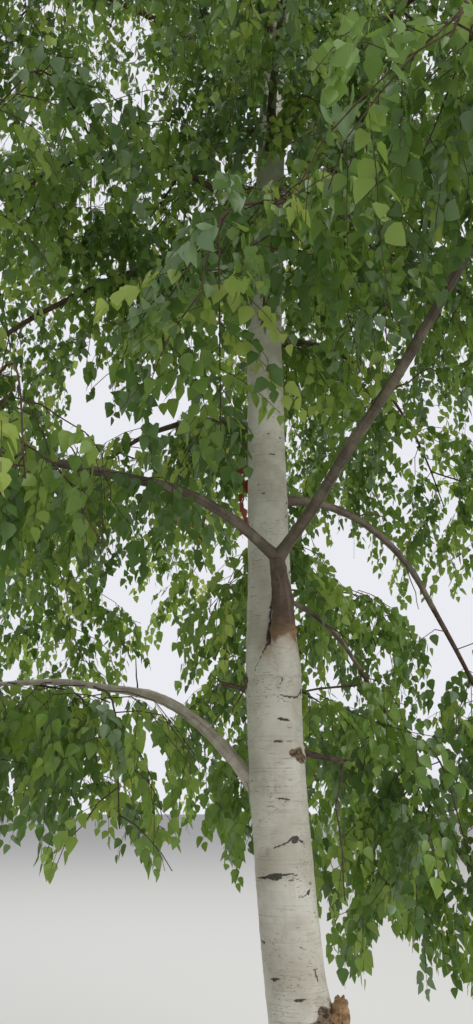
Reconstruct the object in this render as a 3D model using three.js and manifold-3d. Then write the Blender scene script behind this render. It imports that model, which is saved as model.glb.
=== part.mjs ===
// A silver birch about 11 m tall: a white trunk with a steep forked limb on its front, drooping boughs all
// round it, and weeping masses of leafy twigs. Each leaf stands for a whole spray of small ones. Millimetres
// and degrees, +Z up. The origin is the middle of the flat cut under the trunk, at ground level. -Y is the
// front and +X the right, and an azimuth runs from +X towards +Y, so 270 points to the front.
import * as THREE from "three";
import { mergeVertices } from "three/addons/utils/BufferGeometryUtils.js";
import Module from "manifold-3d";

const wasm = await Module();
wasm.setup();

// Trunk
const TRUNK_TIP = 10500;
const LEAN = 193; // how far the trunk leans left before it stands upright
const LEAN_HEIGHT = 1000; // the height over which the lean fades
const LEAN_BEND = 1.35; // over 1, the trunk also stands upright at the ground
const RETURN_HEIGHT = 3400; // above this the trunk comes slowly back to the right
const RETURN_SLOPE = 0.045;
const BACK_SLOPE = 0.012; // a slight lean away from the front
const LOWER_RADIUS = 98; // nearly even below the forked limb
const UPPER_RADIUS = 81; // just above it
const UPPER_TAPER = 0.0082; // radius lost for each millimetre of height
const LIMB_HEIGHTS = [1900, 2400]; // the trunk thins between these, where the forked limb leaves it
const FLARE = 62; // mean root flare at the ground
const FLARE_HEIGHT = 150;
const ROOT_LOBES = { count: 5, size: 34, height: 210, turn: 0.7, uneven: 0.25, largest: 2 }; // radians
const TRUNK_SIDES = 14;
const TRUNK_RINGS = 28;
const RING_SPACING = 1.9; // over 1, the rings stand closer together near the ground

// Burr with its broken stub, low on the right of the trunk
const BURR = { height: 850, azimuth: 345, radius: 58, reach: 48, stretch: 1.6, sides: [12, 8] };
const BURR_STUB = { height: 855, azimuth: 338, swing: 0, rise: [48, 48], length: 215, seed: 3 };
const BURR_STUB_RADIUS = [24, 20];

// Joints, and room round the limbs
const GAP = 0.3; // between a limb and what carries it
const SHORTEST = 0.1; // shorter edges are closed up
const LIMB_ROOM = 40; // between a limb and any leaf
const SPACE_ROOM = 9; // between a leaf and the edge of its mass's space
const LOWEST_LEAF = 780;

// Limbs that the front shows one by one, and three behind them. height is where the limb's line leaves the
// trunk's line, stem is how long the mass's stem is beyond the bough's tip, droop is the rise that the stem
// ends with, and lowest is how low the mass hangs.
const SHOWN_LIMBS = [
  { name: "fork_limb", height: 1925, azimuth: 301, swing: -60, rise: [58, 70], length: 505, radius: [50, 29],
    sides: 8 },
  { name: "bough_front_left", from: "fork_limb", azimuth: 208, swing: -10, rise: [44, 2], bend: 2.8,
    length: 1050, radius: [20, 13], sides: 7, stem: 1350, lowest: 1500 },
  { name: "bough_front_right", from: "fork_limb", azimuth: 319, swing: -28, rise: [42, 32], bend: 0.6,
    length: 1200, radius: [21, 16], sides: 7, stem: 1300 },
  { name: "bough_right_droop", height: 2670, azimuth: 24, swing: 14, rise: [18, -60], bend: 1, length: 980,
    radius: [18, 12], stem: 1150 },
  { name: "bough_left_low", height: 1370, azimuth: 153, swing: 4, rise: [76, 8], bend: 1.05, length: 1000,
    radius: [28, 13], sides: 7, stem: 1250, droop: -16, lowest: 1350 },
  { name: "bough_right_thin", height: 2290, azimuth: 46, swing: 0, rise: [6, -44], length: 620,
    radius: [10, 9], stem: 1000 },
  { name: "bough_upper_left", height: 3860, azimuth: 181, swing: 4, rise: [4, -34], bend: 1, length: 800,
    radius: [19, 13], stem: 1400 },
  { name: "bough_upper_right", height: 3830, azimuth: 22, swing: -8, rise: [34, 0], length: 640,
    radius: [18, 13], stem: 1400 },
  { name: "bough_back_low", height: 2450, azimuth: 76, swing: 6, rise: [42, 2], length: 620,
    radius: [20, 13], stem: 1350 },
  { name: "bough_back_left", height: 2950, azimuth: 126, swing: 10, rise: [44, 12], length: 680,
    radius: [22, 14], stem: 1450 },
  { name: "bough_back_right", height: 3350, azimuth: 60, swing: -8, rise: [46, 14], length: 680,
    radius: [21, 14], stem: 1400 },
];

// A ring of boughs low in the crown, and above it a spiral of them. The spiral's pairs run from its lowest
// bough to its highest.
const RING = { count: 6, height: 4380, step: 95, azimuth: 268, length: 640, stem: 1550 };
const RING_LIMB = { rise: [38, 12], radius: [24, 14] };
const SPIRAL = { count: 10, azimuth: 235, turn: 137.5, heights: [5150, 9600] };
const SPIRAL_LENGTHS = { bough: [820, 260], stem: [1750, 850] };
const SPIRAL_CROWDING = 0.92; // under 1, the boughs stand closer together near the tip
const SPIRAL_RISE = [[52, 24], [60, 46]];
const SPIRAL_RADIUS = [[22, 14], [12, 10]];
const CROWN_SWING = 8; // the swing of these boughs, to one side and the other in turn

// Every limb
const LIMB_SIDES = 5;
const LIMB_STEPS = 5;
const LIMB_BEND = 1.2; // over 1, a limb's rise changes sooner
const LIMB_KINK = 3; // degrees that a limb strays at each step
const COLLAR = { swell: 0.4, length: 1.6 }; // both as shares of the limb's first radius

// Dead stubs left by lost branches
const STUBS = [
  { name: "stub_left", height: 1915, azimuth: 180, swing: 0, rise: [18, 14], length: 195, radius: [11, 8] },
  { name: "stub_right", height: 1748, azimuth: 352, swing: 0, rise: [-10, -14], length: 240, radius: [12, 8] },
];

// Foliage: a stem grows on from the bough's tip, twigs leave it on both sides, and leaves hang from the twigs.
// The stem starts at a share of the tip's radius.
const STEM = { droop: -66, radius: 9, start: 0.78, sink: 6, sides: 4, steps: 5 };
const LEADER = { name: "foliage_leader", seed: 99, azimuth: 40, rise: [87, 48], length: 620 };

// Three more stems leave the trunk itself above the forked limb, and hang their masses in front of it.
const HANGING_RADIUS = 16;
const HANGING_STEMS = [
  { name: "foliage_hanging_front", seed: 96, height: 3400, azimuth: 272, rise: [46, -84], length: 1350,
    lowest: 2420 },
  { name: "foliage_hanging_left", seed: 97, height: 3950, azimuth: 212, rise: [40, -80], length: 1450,
    lowest: 2600 },
  { name: "foliage_hanging_right", seed: 98, height: 3900, azimuth: 312, rise: [40, -84], length: 1400,
    lowest: 2600 },
];
const CENTRE_DROP = 180; // how far a mass's middle lies under its stem
const TWIG = { count: 4, from: 0.08, to: 0.84, radius: [8, 8], sides: 3, steps: 2, kink: 6 };
const TWIG_LENGTH = { first: 0.79, last: 0.54, vary: 0.15 }; // as shares of the stem's length
const TWIG_SPREAD = { first: 115, last: 45, vary: 0.4 }; // degrees away from the stem
const TWIG_RISE = { first: 35, last: -25, vary: 25, droop: -82 };
const TWIG_LEAVES = [0.3, 0.62, 0.92]; // where leaves start along a twig
const LEAF = { length: 600, vary: 0.14, width: 0.74, widest: 0.44, thickness: 14, sink: 4 };
const LEAF_TURN = { spread: 145, fall: [-18, -68], roll: 30 };
const TRIES = 16; // a twig or a leaf that doesn't fit is turned this many times before it is left out
const BLADE_ROOM = 0.12; // how far a leaf keeps from what passes it, as a share of its width
const MOST_ALONG = 0.75; // how nearly a leaf may run along its twig, where 1 is in line with it

const radians = THREE.MathUtils.degToRad;
const degrees = THREE.MathUtils.radToDeg;
const mix = THREE.MathUtils.lerp;
const UP = new THREE.Vector3(0, 0, 1);

// A number from 0 to 1 that depends only on two whole numbers, by an integer hash.
function chance(seed, index) {
  let n = (Math.imul(seed + 1, 7919) + Math.imul(index + 1, 104729)) >>> 0;
  for (let round = 0; round < 2; round++) {
    n = Math.imul(n ^ (n >>> 16), 0x45d9f3b) >>> 0;
  }
  return ((n ^ (n >>> 16)) >>> 0) / 2 ** 32;
}

// A number from -size to size, by the same hash.
function stray(size, seed, index) {
  return size * (2 * chance(seed, index) - 1);
}

function heading(azimuth, rise) {
  const flat = Math.cos(radians(rise));
  const turn = radians(azimuth);
  return new THREE.Vector3(flat * Math.cos(turn), flat * Math.sin(turn), Math.sin(radians(rise)));
}

function trunkCentre(z) {
  const back = RETURN_SLOPE * Math.max(0, z - RETURN_HEIGHT);
  const lean = LEAN * (1 - Math.exp(-((z / LEAN_HEIGHT) ** LEAN_BEND)));
  return new THREE.Vector3(back - lean, BACK_SLOPE * z, z);
}

// The trunk's mean radius at a height.
function trunkRadius(z) {
  const upper = UPPER_RADIUS - UPPER_TAPER * (z - LIMB_HEIGHTS[1]);
  const wood = mix(LOWER_RADIUS, upper, THREE.MathUtils.smoothstep(z, ...LIMB_HEIGHTS));
  return wood + FLARE * Math.exp(-z / FLARE_HEIGHT);
}

// How far the root lobes stand out from the mean radius, at a height and a turn round the trunk.
function rootLobe(z, turn) {
  const { count, size, height, uneven, largest } = ROOT_LOBES;
  const share = 1 - uneven + uneven * Math.cos(turn - largest);
  return size * share * Math.cos(count * turn + ROOT_LOBES.turn) * Math.exp(-z / height);
}

// Turns a closed three.js geometry into a solid that can be joined and cut.
function solidOf(geometry) {
  const bare = geometry.index ? geometry.toNonIndexed() : geometry.clone();
  bare.deleteAttribute("normal");
  bare.deleteAttribute("uv");
  const merged = mergeVertices(bare, 1e-4);
  return new wasm.Manifold(
    new wasm.Mesh({
      numProp: 3,
      vertProperties: merged.attributes.position.array,
      triVerts: new Uint32Array(merged.index.array),
    }),
  );
}

// Turns a solid back into a geometry. Edges shorter than joining can tell apart are closed up, and loose
// scraps are dropped.
function geometryOf(solid) {
  const body = solid.simplify(SHORTEST).decompose().reduce((a, b) => (b.volume() > a.volume() ? b : a));
  const mesh = body.getMesh();
  return new THREE.BufferGeometry()
    .setAttribute("position", new THREE.BufferAttribute(mesh.vertProperties, 3))
    .setIndex(new THREE.BufferAttribute(mesh.triVerts, 1));
}

// Bends an upright cylinder of one unit along a line of points. radiusAt gives the radius at a share of the
// line, or at a share and a turn round it.
function bentCylinder(points, sides, radiusAt, level = false) {
  const rings = points.length - 1;
  const geometry = new THREE.CylinderGeometry(1, 1, 1, sides, rings);
  const frames = points.map((point, i) => {
    const chord = points[Math.min(i + 1, rings)].clone().sub(points[Math.max(i - 1, 0)]);
    const along = level ? UP : chord.normalize();
    const side = new THREE.Vector3(0, 1, 0).cross(along);
    if (side.length() < 0.2) side.set(1, 0, 0).cross(along);
    side.normalize();
    return { point, side, other: along.clone().cross(side) };
  });
  const position = geometry.attributes.position;
  for (let v = 0; v < position.count; v++) {
    const x = position.getX(v);
    const y = -position.getZ(v);
    const ring = Math.round((position.getY(v) + 0.5) * rings);
    const { point, side, other } = frames[ring];
    const radius = radiusAt(ring / rings, Math.atan2(y, x));
    const place = point.clone().addScaledVector(side, radius * x).addScaledVector(other, radius * y);
    position.setXYZ(v, place.x, place.y, place.z);
  }
  return geometry;
}

// The trunk with its burr, wider all round and at its tip by the extra.
function trunkSolid(extra = 0) {
  const shares = Array.from({ length: TRUNK_RINGS + 1 }, (_, i) => i / TRUNK_RINGS);
  const heights = shares.map((share) => TRUNK_TIP * share ** RING_SPACING);
  const points = heights.map(trunkCentre);
  points.at(-1).z += extra;
  const radiusAt = (share, turn) => {
    const z = heights[Math.round(share * TRUNK_RINGS)];
    return trunkRadius(z) + rootLobe(z, turn) + extra;
  };
  const wood = solidOf(bentCylinder(points, TRUNK_SIDES, radiusAt, true));
  const out = trunkRadius(BURR.height) - BURR.radius + BURR.reach;
  const middle = trunkCentre(BURR.height).addScaledVector(heading(BURR.azimuth, 0), out);
  const lump = new THREE.SphereGeometry(BURR.radius + extra, ...BURR.sides);
  lump.scale(1, 1, BURR.stretch).translate(middle.x, middle.y, middle.z);
  const stub = { line: limbLine(BURR_STUB), radius: BURR_STUB_RADIUS.map((size) => size + extra) };
  return wood.add(solidOf(lump)).add(tube(stub, LIMB_SIDES));
}

// The line of a limb: its rise goes from rise[0] to rise[1], quicker at first where bend is over 1, and its
// azimuth swings evenly. It strays a little at each step, by its seed.
function limbLine(limb, steps = LIMB_STEPS) {
  const points = [limb.start ?? trunkCentre(limb.height)];
  for (let i = 0; i < steps; i++) {
    const share = (i + 0.5) / steps;
    const kink = i === 0 ? 0 : (limb.kink ?? LIMB_KINK);
    const rise = mix(limb.rise[1], limb.rise[0], (1 - share) ** (limb.bend ?? LIMB_BEND));
    const azimuth = limb.azimuth + limb.swing * share + stray(kink, limb.seed, i);
    const step = heading(azimuth, rise + stray(kink, limb.seed, i + steps));
    points.push(points[i].clone().addScaledVector(step, limb.length / steps));
  }
  return points;
}

// A limb's radius tapers evenly and swells into a collar where it leaves what carries it.
function limbRadius(limb, share) {
  const hidden = limb.from ? 0 : trunkRadius(limb.height);
  const past = Math.max(0, share * limb.length - hidden);
  const collar = COLLAR.swell * limb.radius[0] * Math.exp(-past / (COLLAR.length * limb.radius[0]));
  return mix(...limb.radius, share) + collar;
}

function ringLimbs() {
  return Array.from({ length: RING.count }, (_, i) => ({
    name: `bough_ring_${i + 1}`,
    height: RING.height + RING.step * ((i * 2) % RING.count),
    azimuth: RING.azimuth + (360 / RING.count) * i,
    swing: i % 2 ? -CROWN_SWING : CROWN_SWING,
    length: RING.length,
    stem: RING.stem,
    ...RING_LIMB,
  }));
}

function spiralLimbs() {
  return Array.from({ length: SPIRAL.count }, (_, i) => {
    const share = i / (SPIRAL.count - 1);
    const between = (pairs) => pairs[0].map((low, k) => mix(low, pairs[1][k], share));
    return {
      name: `bough_spiral_${i + 1}`,
      height: mix(...SPIRAL.heights, share ** SPIRAL_CROWDING),
      azimuth: (SPIRAL.azimuth + SPIRAL.turn * i) % 360,
      swing: i % 2 ? -CROWN_SWING : CROWN_SWING,
      rise: between(SPIRAL_RISE),
      radius: between(SPIRAL_RADIUS),
      length: mix(...SPIRAL_LENGTHS.bough, share),
      stem: mix(...SPIRAL_LENGTHS.stem, share),
    };
  });
}

// Every limb with its line and seed, in an order that puts what carries a limb before it.
function growLimbs() {
  const grown = new Map();
  [...SHOWN_LIMBS, ...STUBS, ...ringLimbs(), ...spiralLimbs()].forEach((spec, i) => {
    const limb = { ...spec, seed: 11 + i };
    if (limb.from) limb.start = grown.get(limb.from).line.at(-1);
    limb.line = limbLine(limb);
    grown.set(limb.name, limb);
  });
  return [...grown.values()];
}

// The stem of each mass starts inside the tip that carries it, a bough's or the trunk's, and is cut clear
// later.
function growStems(limbs) {
  const stems = limbs.filter((limb) => limb.stem).map((limb) => {
    const [before, tip] = limb.line.slice(-2);
    const along = tip.clone().sub(before).normalize();
    return {
      name: limb.name.replace("bough", "foliage"),
      carrier: limb,
      length: limb.stem,
      lowest: limb.lowest,
      seed: 100 + limb.seed,
      start: tip.clone().addScaledVector(along, -STEM.sink),
      azimuth: degrees(Math.atan2(along.y, along.x)),
      rise: [degrees(Math.asin(along.z)), limb.droop ?? STEM.droop],
      radius: [limb.radius[1] * STEM.start, STEM.radius],
    };
  });
  const leaderRadius = [trunkRadius(TRUNK_TIP) * STEM.start, STEM.radius];
  stems.push({ ...LEADER, start: trunkCentre(TRUNK_TIP - STEM.sink), radius: leaderRadius });
  for (const stem of HANGING_STEMS) {
    const radius = [HANGING_RADIUS * STEM.start, STEM.radius];
    stems.push({ ...stem, start: trunkCentre(stem.height), radius });
  }
  for (const stem of stems) {
    Object.assign(stem, { swing: 0, bend: 1 });
    stem.line = limbLine(stem, STEM.steps);
    stem.centre = new THREE.Box3().setFromPoints(stem.line).getCenter(new THREE.Vector3());
    stem.centre.z -= CENTRE_DROP;
  }
  return stems;
}

// A point at a share of a line's length, where the line's steps are of one length.
function pointAlong(line, share) {
  const at = share * (line.length - 1);
  const step = Math.min(Math.floor(at), line.length - 2);
  return line[step].clone().lerp(line[step + 1], at - step);
}

// A twig leaves its stem on one side, and bends over until it hangs. Each try turns it differently.
function twigOf(stem, index, attempt) {
  const share = mix(TWIG.from, TWIG.to, index / (TWIG.count - 1));
  const seed = (stem.seed * TWIG.count + index) * TRIES + attempt;
  const { first, last, vary } = TWIG_LENGTH;
  const spread = mix(TWIG_SPREAD.first, TWIG_SPREAD.last, share) * (1 + stray(TWIG_SPREAD.vary, seed, 1));
  const twig = {
    seed,
    start: pointAlong(stem.line, share),
    azimuth: stem.azimuth + (index % 2 ? -spread : spread),
    swing: 0,
    rise: [mix(TWIG_RISE.first, TWIG_RISE.last, share) + stray(TWIG_RISE.vary, seed, 2), TWIG_RISE.droop],
    kink: TWIG.kink,
    length: stem.length * mix(first, last, share) * (1 + stray(vary, seed, 3)),
    radius: TWIG.radius,
  };
  twig.line = limbLine(twig, TWIG.steps);
  return twig;
}

// A leaf starts inside its twig and runs outwards and down. Each try turns it differently.
function leafOf(twig, share, attempt) {
  const seed = (twig.seed * TWIG_LEAVES.length + TWIG_LEAVES.indexOf(share)) * TRIES + attempt;
  const turn = twig.azimuth + stray(LEAF_TURN.spread, seed, 1);
  const along = heading(turn, mix(...LEAF_TURN.fall, chance(seed, 2)));
  const across = heading(turn + 90, stray(LEAF_TURN.roll, seed, 3));
  across.addScaledVector(along, -across.dot(along)).normalize();
  const step = twig.line.at(-1).clone().sub(twig.line.at(-2)).normalize();
  return {
    root: pointAlong(twig.line, share).addScaledVector(along, -LEAF.sink),
    alongTwig: Math.abs(along.dot(step)),
    length: LEAF.length * (1 + stray(LEAF.vary, seed, 4)),
    along,
    across,
  };
}

// How far the blade reaches across at a share of its length, where 1 is its widest.
function bladeWidth(share) {
  return share < LEAF.widest ? share / LEAF.widest : (1 - share) / (1 - LEAF.widest);
}

// A point on a leaf's blade: share is the place along it, and side runs from -1 to 1 across it.
function leafPoint(leaf, share, side) {
  return leaf.root
    .clone()
    .addScaledVector(leaf.along, share * leaf.length)
    .addScaledVector(leaf.across, side * bladeWidth(share) * 0.5 * LEAF.width * leaf.length);
}

// A leaf is a flat eight-sided blade: four corners, and the middle of its upper and lower faces.
function leafGeometry(leaf) {
  const blade = new THREE.OctahedronGeometry(1);
  const normal = leaf.across.clone().cross(leaf.along);
  const position = blade.attributes.position;
  for (let v = 0; v < position.count; v++) {
    const [x, y, z] = [position.getX(v), position.getY(v), position.getZ(v)];
    const share = y > 0.5 ? 1 : y < -0.5 ? 0 : LEAF.widest;
    const place = leafPoint(leaf, share, x).addScaledVector(normal, z * 0.5 * LEAF.thickness);
    position.setXYZ(v, place.x, place.y, place.z);
  }
  return blade;
}

// True where a straight piece from one point to another passes through a leaf's blade.
function piercesLeaf(from, to, leaf) {
  const normal = leaf.across.clone().cross(leaf.along);
  const before = from.clone().sub(leaf.root).dot(normal);
  const after = to.clone().sub(leaf.root).dot(normal);
  if (before * after > 0) return false;
  const hit = from.clone().lerp(to, before / (before - after)).sub(leaf.root);
  const share = hit.dot(leaf.along) / leaf.length;
  const side = Math.abs(hit.dot(leaf.across)) / (0.5 * LEAF.width * leaf.length);
  return share > BLADE_ROOM && share < 1 + BLADE_ROOM && side < bladeWidth(share) + BLADE_ROOM;
}

function linePierces(line, leaf) {
  return line.slice(1).some((point, i) => piercesLeaf(line[i], point, leaf));
}

// A leaf's outline, from just past its root and back again.
function leafOutline(leaf) {
  const corners = [[BLADE_ROOM, 0], [LEAF.widest, 1], [1, 0], [LEAF.widest, -1], [BLADE_ROOM, 0]];
  return corners.map(([share, side]) => leafPoint(leaf, share, side));
}

function leavesCross(one, other) {
  return linePierces(leafOutline(one), other) || linePierces(leafOutline(other), one);
}

function distanceToLine(point, line) {
  const distances = line.slice(1).map((end, i) => {
    const piece = new THREE.Line3(line[i], end);
    return piece.closestPointToPoint(point, true, new THREE.Vector3()).distanceTo(point);
  });
  return Math.min(...distances);
}

// A mass's space holds the points that are nearer its own centre than any other mass's.
function inSpace(point, stem, stems) {
  return stems.every((other) => {
    if (other === stem) return true;
    const away = stem.centre.clone().sub(other.centre);
    const middle = stem.centre.clone().add(other.centre).multiplyScalar(0.5);
    return point.clone().sub(middle).dot(away) / away.length() > SPACE_ROOM;
  });
}

// True where no sample point of a piece leaves the space, hangs too low or comes near a limb.
function fits(points, stem, stems, limbs) {
  return points.every((point) => {
    if (point.z < (stem.lowest ?? LOWEST_LEAF) || !inSpace(point, stem, stems)) return false;
    const trunkGap = point.distanceTo(trunkCentre(point.z)) - trunkRadius(Math.min(point.z, TRUNK_TIP));
    if (point.z < TRUNK_TIP && trunkGap < LIMB_ROOM) return false;
    const others = [...limbs, ...stems.filter((other) => other !== stem)];
    return others.every((limb) => distanceToLine(point, limb.line) > limb.radius[0] + LIMB_ROOM);
  });
}

function leafSamples(leaf) {
  const shares = [0.25, LEAF.widest, 0.55, 0.7, 0.85, 1];
  return shares.flatMap((share) => [-1, -0.5, 0, 0.5, 1].map((side) => leafPoint(leaf, share, side)));
}

function lineSamples(line) {
  const shares = [0.25, 0.5, 0.75, 1];
  return line.slice(1).flatMap((end, i) => shares.map((share) => line[i].clone().lerp(end, share)));
}

// The first of several tries that is wanted, if any is.
function firstTry(make, wanted) {
  for (let attempt = 0; attempt < TRIES; attempt++) {
    const made = make(attempt);
    if (wanted(made)) return made;
  }
  return null;
}

function tube(limb, sides) {
  return solidOf(bentCylinder(limb.line, sides, (share) => mix(...limb.radius, share)));
}

// One mass: its stem, the twigs that fit its space, and the leaves that fit it and clear one another, joined
// into one solid.
function massSolid(stem, stems, limbs, wideTrunk) {
  const inside = (points) => fits(points, stem, stems, limbs);
  const twigs = [];
  for (let index = 0; index < TWIG.count; index++) {
    const wanted = (twig) => inside(lineSamples(twig.line));
    const twig = firstTry((attempt) => twigOf(stem, index, attempt), wanted);
    if (twig) twigs.push(twig);
  }
  const leaves = [];
  const lines = [stem, ...twigs].map((one) => one.line);
  const clear = (leaf) => leaf.alongTwig < MOST_ALONG && inside(leafSamples(leaf)) &&
    !lines.some((line) => linePierces(line, leaf)) && !leaves.some((other) => leavesCross(leaf, other));
  for (const twig of [...twigs, stem]) {
    for (const share of TWIG_LEAVES) {
      const leaf = firstTry((attempt) => leafOf(twig, share, attempt), clear);
      if (leaf) leaves.push(leaf);
    }
  }
  const pieces = [tube(stem, STEM.sides), ...twigs.map((twig) => tube(twig, TWIG.sides))];
  const mass = wasm.Manifold.union([...pieces, ...leaves.map((leaf) => solidOf(leafGeometry(leaf)))]);
  return mass.subtract(stem.carrier ? wideLimb(stem.carrier) : wideTrunk);
}

const MATERIALS = {
  trunk: { color: "#cfcabb", roughness: 0.75 },
  bough: { color: "#6b5a4a", roughness: 0.8 },
  stub: { color: "#4a3c30", roughness: 0.9 },
  foliage: { color: "#4f7a2c", roughness: 0.55 },
};

function mesh(name, solid) {
  const kind = Object.keys(MATERIALS).find((key) => name.startsWith(key)) ?? "bough";
  const material = new THREE.MeshStandardMaterial({ ...MATERIALS[kind], metalness: 0 });
  const made = new THREE.Mesh(geometryOf(solid), material);
  made.name = name;
  return made;
}

function limbTube(limb, extra) {
  const radiusAt = (share) => limbRadius(limb, share) + extra;
  return solidOf(bentCylinder(limb.line, limb.sides ?? LIMB_SIDES, radiusAt));
}

// The room round a limb: a gap wider all round, and past its tip.
function wideLimb(limb) {
  const [before, tip] = limb.line.slice(-2);
  const past = tip.clone().addScaledVector(tip.clone().sub(before).normalize(), GAP);
  return limbTube({ ...limb, line: [...limb.line.slice(0, -1), past] }, GAP);
}

// A limb is cut back from the trunk or the limb that carries it, and from the limbs that share its fork.
function limbSolid(limb, limbs, wideTrunk) {
  const whole = limbTube(limb, 0);
  if (!limb.from) return whole.subtract(wideTrunk);
  const earlier = limbs.slice(0, limbs.indexOf(limb));
  const neighbours = earlier.filter((one) => one.from === limb.from || one.name === limb.from);
  return neighbours.reduce((solid, one) => solid.subtract(wideLimb(one)), whole);
}

function birch() {
  const tree = new THREE.Group();
  const limbs = growLimbs();
  const stems = growStems(limbs);
  const wideTrunk = trunkSolid(GAP);
  tree.add(mesh("trunk", trunkSolid()));
  for (const limb of limbs) tree.add(mesh(limb.name, limbSolid(limb, limbs, wideTrunk)));
  for (const stem of stems) tree.add(mesh(stem.name, massSolid(stem, stems, limbs, wideTrunk)));
  return tree;
}

export default birch();
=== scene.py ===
# %% [markdown]
# # A silver birch, grown leaf by leaf
#
# A birch is a white trunk, a few dozen dark boughs and more than a hundred thousand small leaves on hanging
# shoots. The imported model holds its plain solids: the trunk, the boughs, and for each bough a mass of twigs
# with large flat blades, each of which stands for a spray of leaves. This lesson grows the real thing over
# them. The same seeded rule is run again, so every bough and twig lands where its solid is, and is then
# carried on to shoots and leaves that are too fine for a solid.
#
# Lengths are in metres and angles in degrees. Z points up, -Y is the front and +X the right.

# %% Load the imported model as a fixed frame
import functools
import math

import bpy
import numpy as np
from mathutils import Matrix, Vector


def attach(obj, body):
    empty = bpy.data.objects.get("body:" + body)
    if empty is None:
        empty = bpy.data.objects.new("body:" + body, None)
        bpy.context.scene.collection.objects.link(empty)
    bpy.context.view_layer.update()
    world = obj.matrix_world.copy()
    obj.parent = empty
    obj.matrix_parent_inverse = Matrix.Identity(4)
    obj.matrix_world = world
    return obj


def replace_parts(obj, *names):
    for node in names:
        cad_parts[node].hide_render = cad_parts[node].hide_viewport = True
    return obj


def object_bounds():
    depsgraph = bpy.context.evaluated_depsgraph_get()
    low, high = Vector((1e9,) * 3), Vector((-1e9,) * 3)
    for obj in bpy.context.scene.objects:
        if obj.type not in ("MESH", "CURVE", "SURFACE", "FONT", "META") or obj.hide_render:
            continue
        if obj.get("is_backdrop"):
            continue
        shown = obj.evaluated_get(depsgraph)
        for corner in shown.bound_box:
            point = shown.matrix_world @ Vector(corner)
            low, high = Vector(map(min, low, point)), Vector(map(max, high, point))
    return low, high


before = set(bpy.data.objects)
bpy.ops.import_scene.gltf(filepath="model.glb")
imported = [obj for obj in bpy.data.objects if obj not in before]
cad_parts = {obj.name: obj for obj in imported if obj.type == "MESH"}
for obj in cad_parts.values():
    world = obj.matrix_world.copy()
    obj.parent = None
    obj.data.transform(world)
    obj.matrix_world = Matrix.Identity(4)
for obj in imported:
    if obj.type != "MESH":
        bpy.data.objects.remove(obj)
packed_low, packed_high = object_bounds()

print("packed solids:", len(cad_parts), "reach up to", round(packed_high.z, 2), "m")

# %% [markdown]
# ## Chance that repeats
#
# A plant looks natural when no two twigs are alike, but a script has to give the same plant each time, and
# here the same one as the solids. Blender's random functions would do for the first and not for the second.
# So a number between 0 and 1 is worked out from two whole numbers, a seed and an index, by mixing their
# bits. It takes whole arrays, so one call can serve thousands of leaves.

# %% A seeded number, and directions
BITS = np.uint64(0xFFFFFFFF)


def chance(seed, index):
    """A number from 0 to 1: both whole numbers are multiplied up, added, and twice folded on themselves."""
    seed, index = np.asarray(seed).astype(np.uint64), np.asarray(index).astype(np.uint64)
    n = ((seed + np.uint64(1)) * np.uint64(7919) + (index + np.uint64(1)) * np.uint64(104729)) & BITS
    for _ in range(2):
        n = ((n ^ (n >> np.uint64(16))) * np.uint64(0x45D9F3B)) & BITS
    return (n ^ (n >> np.uint64(16))) / 2.0**32


def stray(size, seed, index):
    """A number from -size to size, by the same rule."""
    return size * (2 * chance(seed, index) - 1)


def mix(first, last, share):
    """first + (last - first) share."""
    return first + (last - first) * share


def smooth(value, low, high):
    """0 below low and 1 above high, with a slope of nought at both ends: 3 t^2 - 2 t^3."""
    t = np.clip((value - low) / (high - low), 0, 1)
    return t * t * (3 - 2 * t)


def heading(azimuth, rise):
    """Unit arrows: (cos rise cos azimuth, cos rise sin azimuth, sin rise)."""
    turn, climb = np.radians(azimuth), np.radians(rise)
    flat = np.cos(climb)
    return np.stack([flat * np.cos(turn), flat * np.sin(turn), np.sin(climb) + 0 * turn], axis=-1)


def full_turn(sides):
    """Even angles once round, in radians."""
    return 2 * math.pi * np.arange(sides) / sides


def unit(arrows):
    """Arrows divided by their own length."""
    return arrows / np.maximum(np.linalg.norm(arrows, axis=-1, keepdims=True), 1e-9)


print("first chances:", [round(float(chance(11, i)), 3) for i in range(4)])

# %% [markdown]
# ## The trunk's line and thickness
#
# The trunk leaves the ground upright, leans 19 cm to the left within its first two metres, stands nearly
# straight and comes slowly back to the right. It is almost even in thickness up to the forked limb, thins
# where that limb leaves it, and tapers from there to the tip. At the ground it flares into five low root
# lobes. These are the solid's own formulas, so the bark fits it at every height.

# %% Formulas of the trunk
TRUNK_TIP = 10.5


def trunk_centre(z):
    """x is a slow return above 3.4 m less a lean that fades in as 1 - exp(-z^1.35), and y is 0.012 z."""
    z = np.asarray(z, float)
    lean = 0.193 * (1 - np.exp(-(np.maximum(z, 0) ** 1.35)))
    return np.stack([0.045 * np.maximum(0, z - 3.4) - lean, 0.012 * z, z], axis=-1)


def trunk_radius(z):
    """98 mm low down, blended between 1.9 and 2.4 m into 81 mm that loses 8.2 mm a metre, plus a flare."""
    z = np.asarray(z, float)
    return mix(0.098, 0.081 - 0.0082 * (z - 2.4), smooth(z, 1.9, 2.4)) + 0.062 * np.exp(-z / 0.15)


def root_lobe(z, turn):
    """Five waves round the trunk, uneven in size, that fade with height as exp(-z / 0.21)."""
    return 0.034 * (0.75 + 0.25 * np.cos(turn - 2)) * np.cos(5 * turn + 0.7) * np.exp(-z / 0.21)


print("radius at 0, 1.4 and 5 m:", np.round(trunk_radius([0, 1.4, 5]), 3))

# %% [markdown]
# ## The limbs' lines
#
# A bough leaves the trunk steeply and bends over under its own weight. Its line is made of five equal
# steps: the rise goes from its first value to its last, the azimuth swings a little, and each step strays
# by a few degrees, which gives the slightly jointed look of birch wood. One function grows any number of
# such lines at once, and later the twigs and shoots as well.

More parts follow.
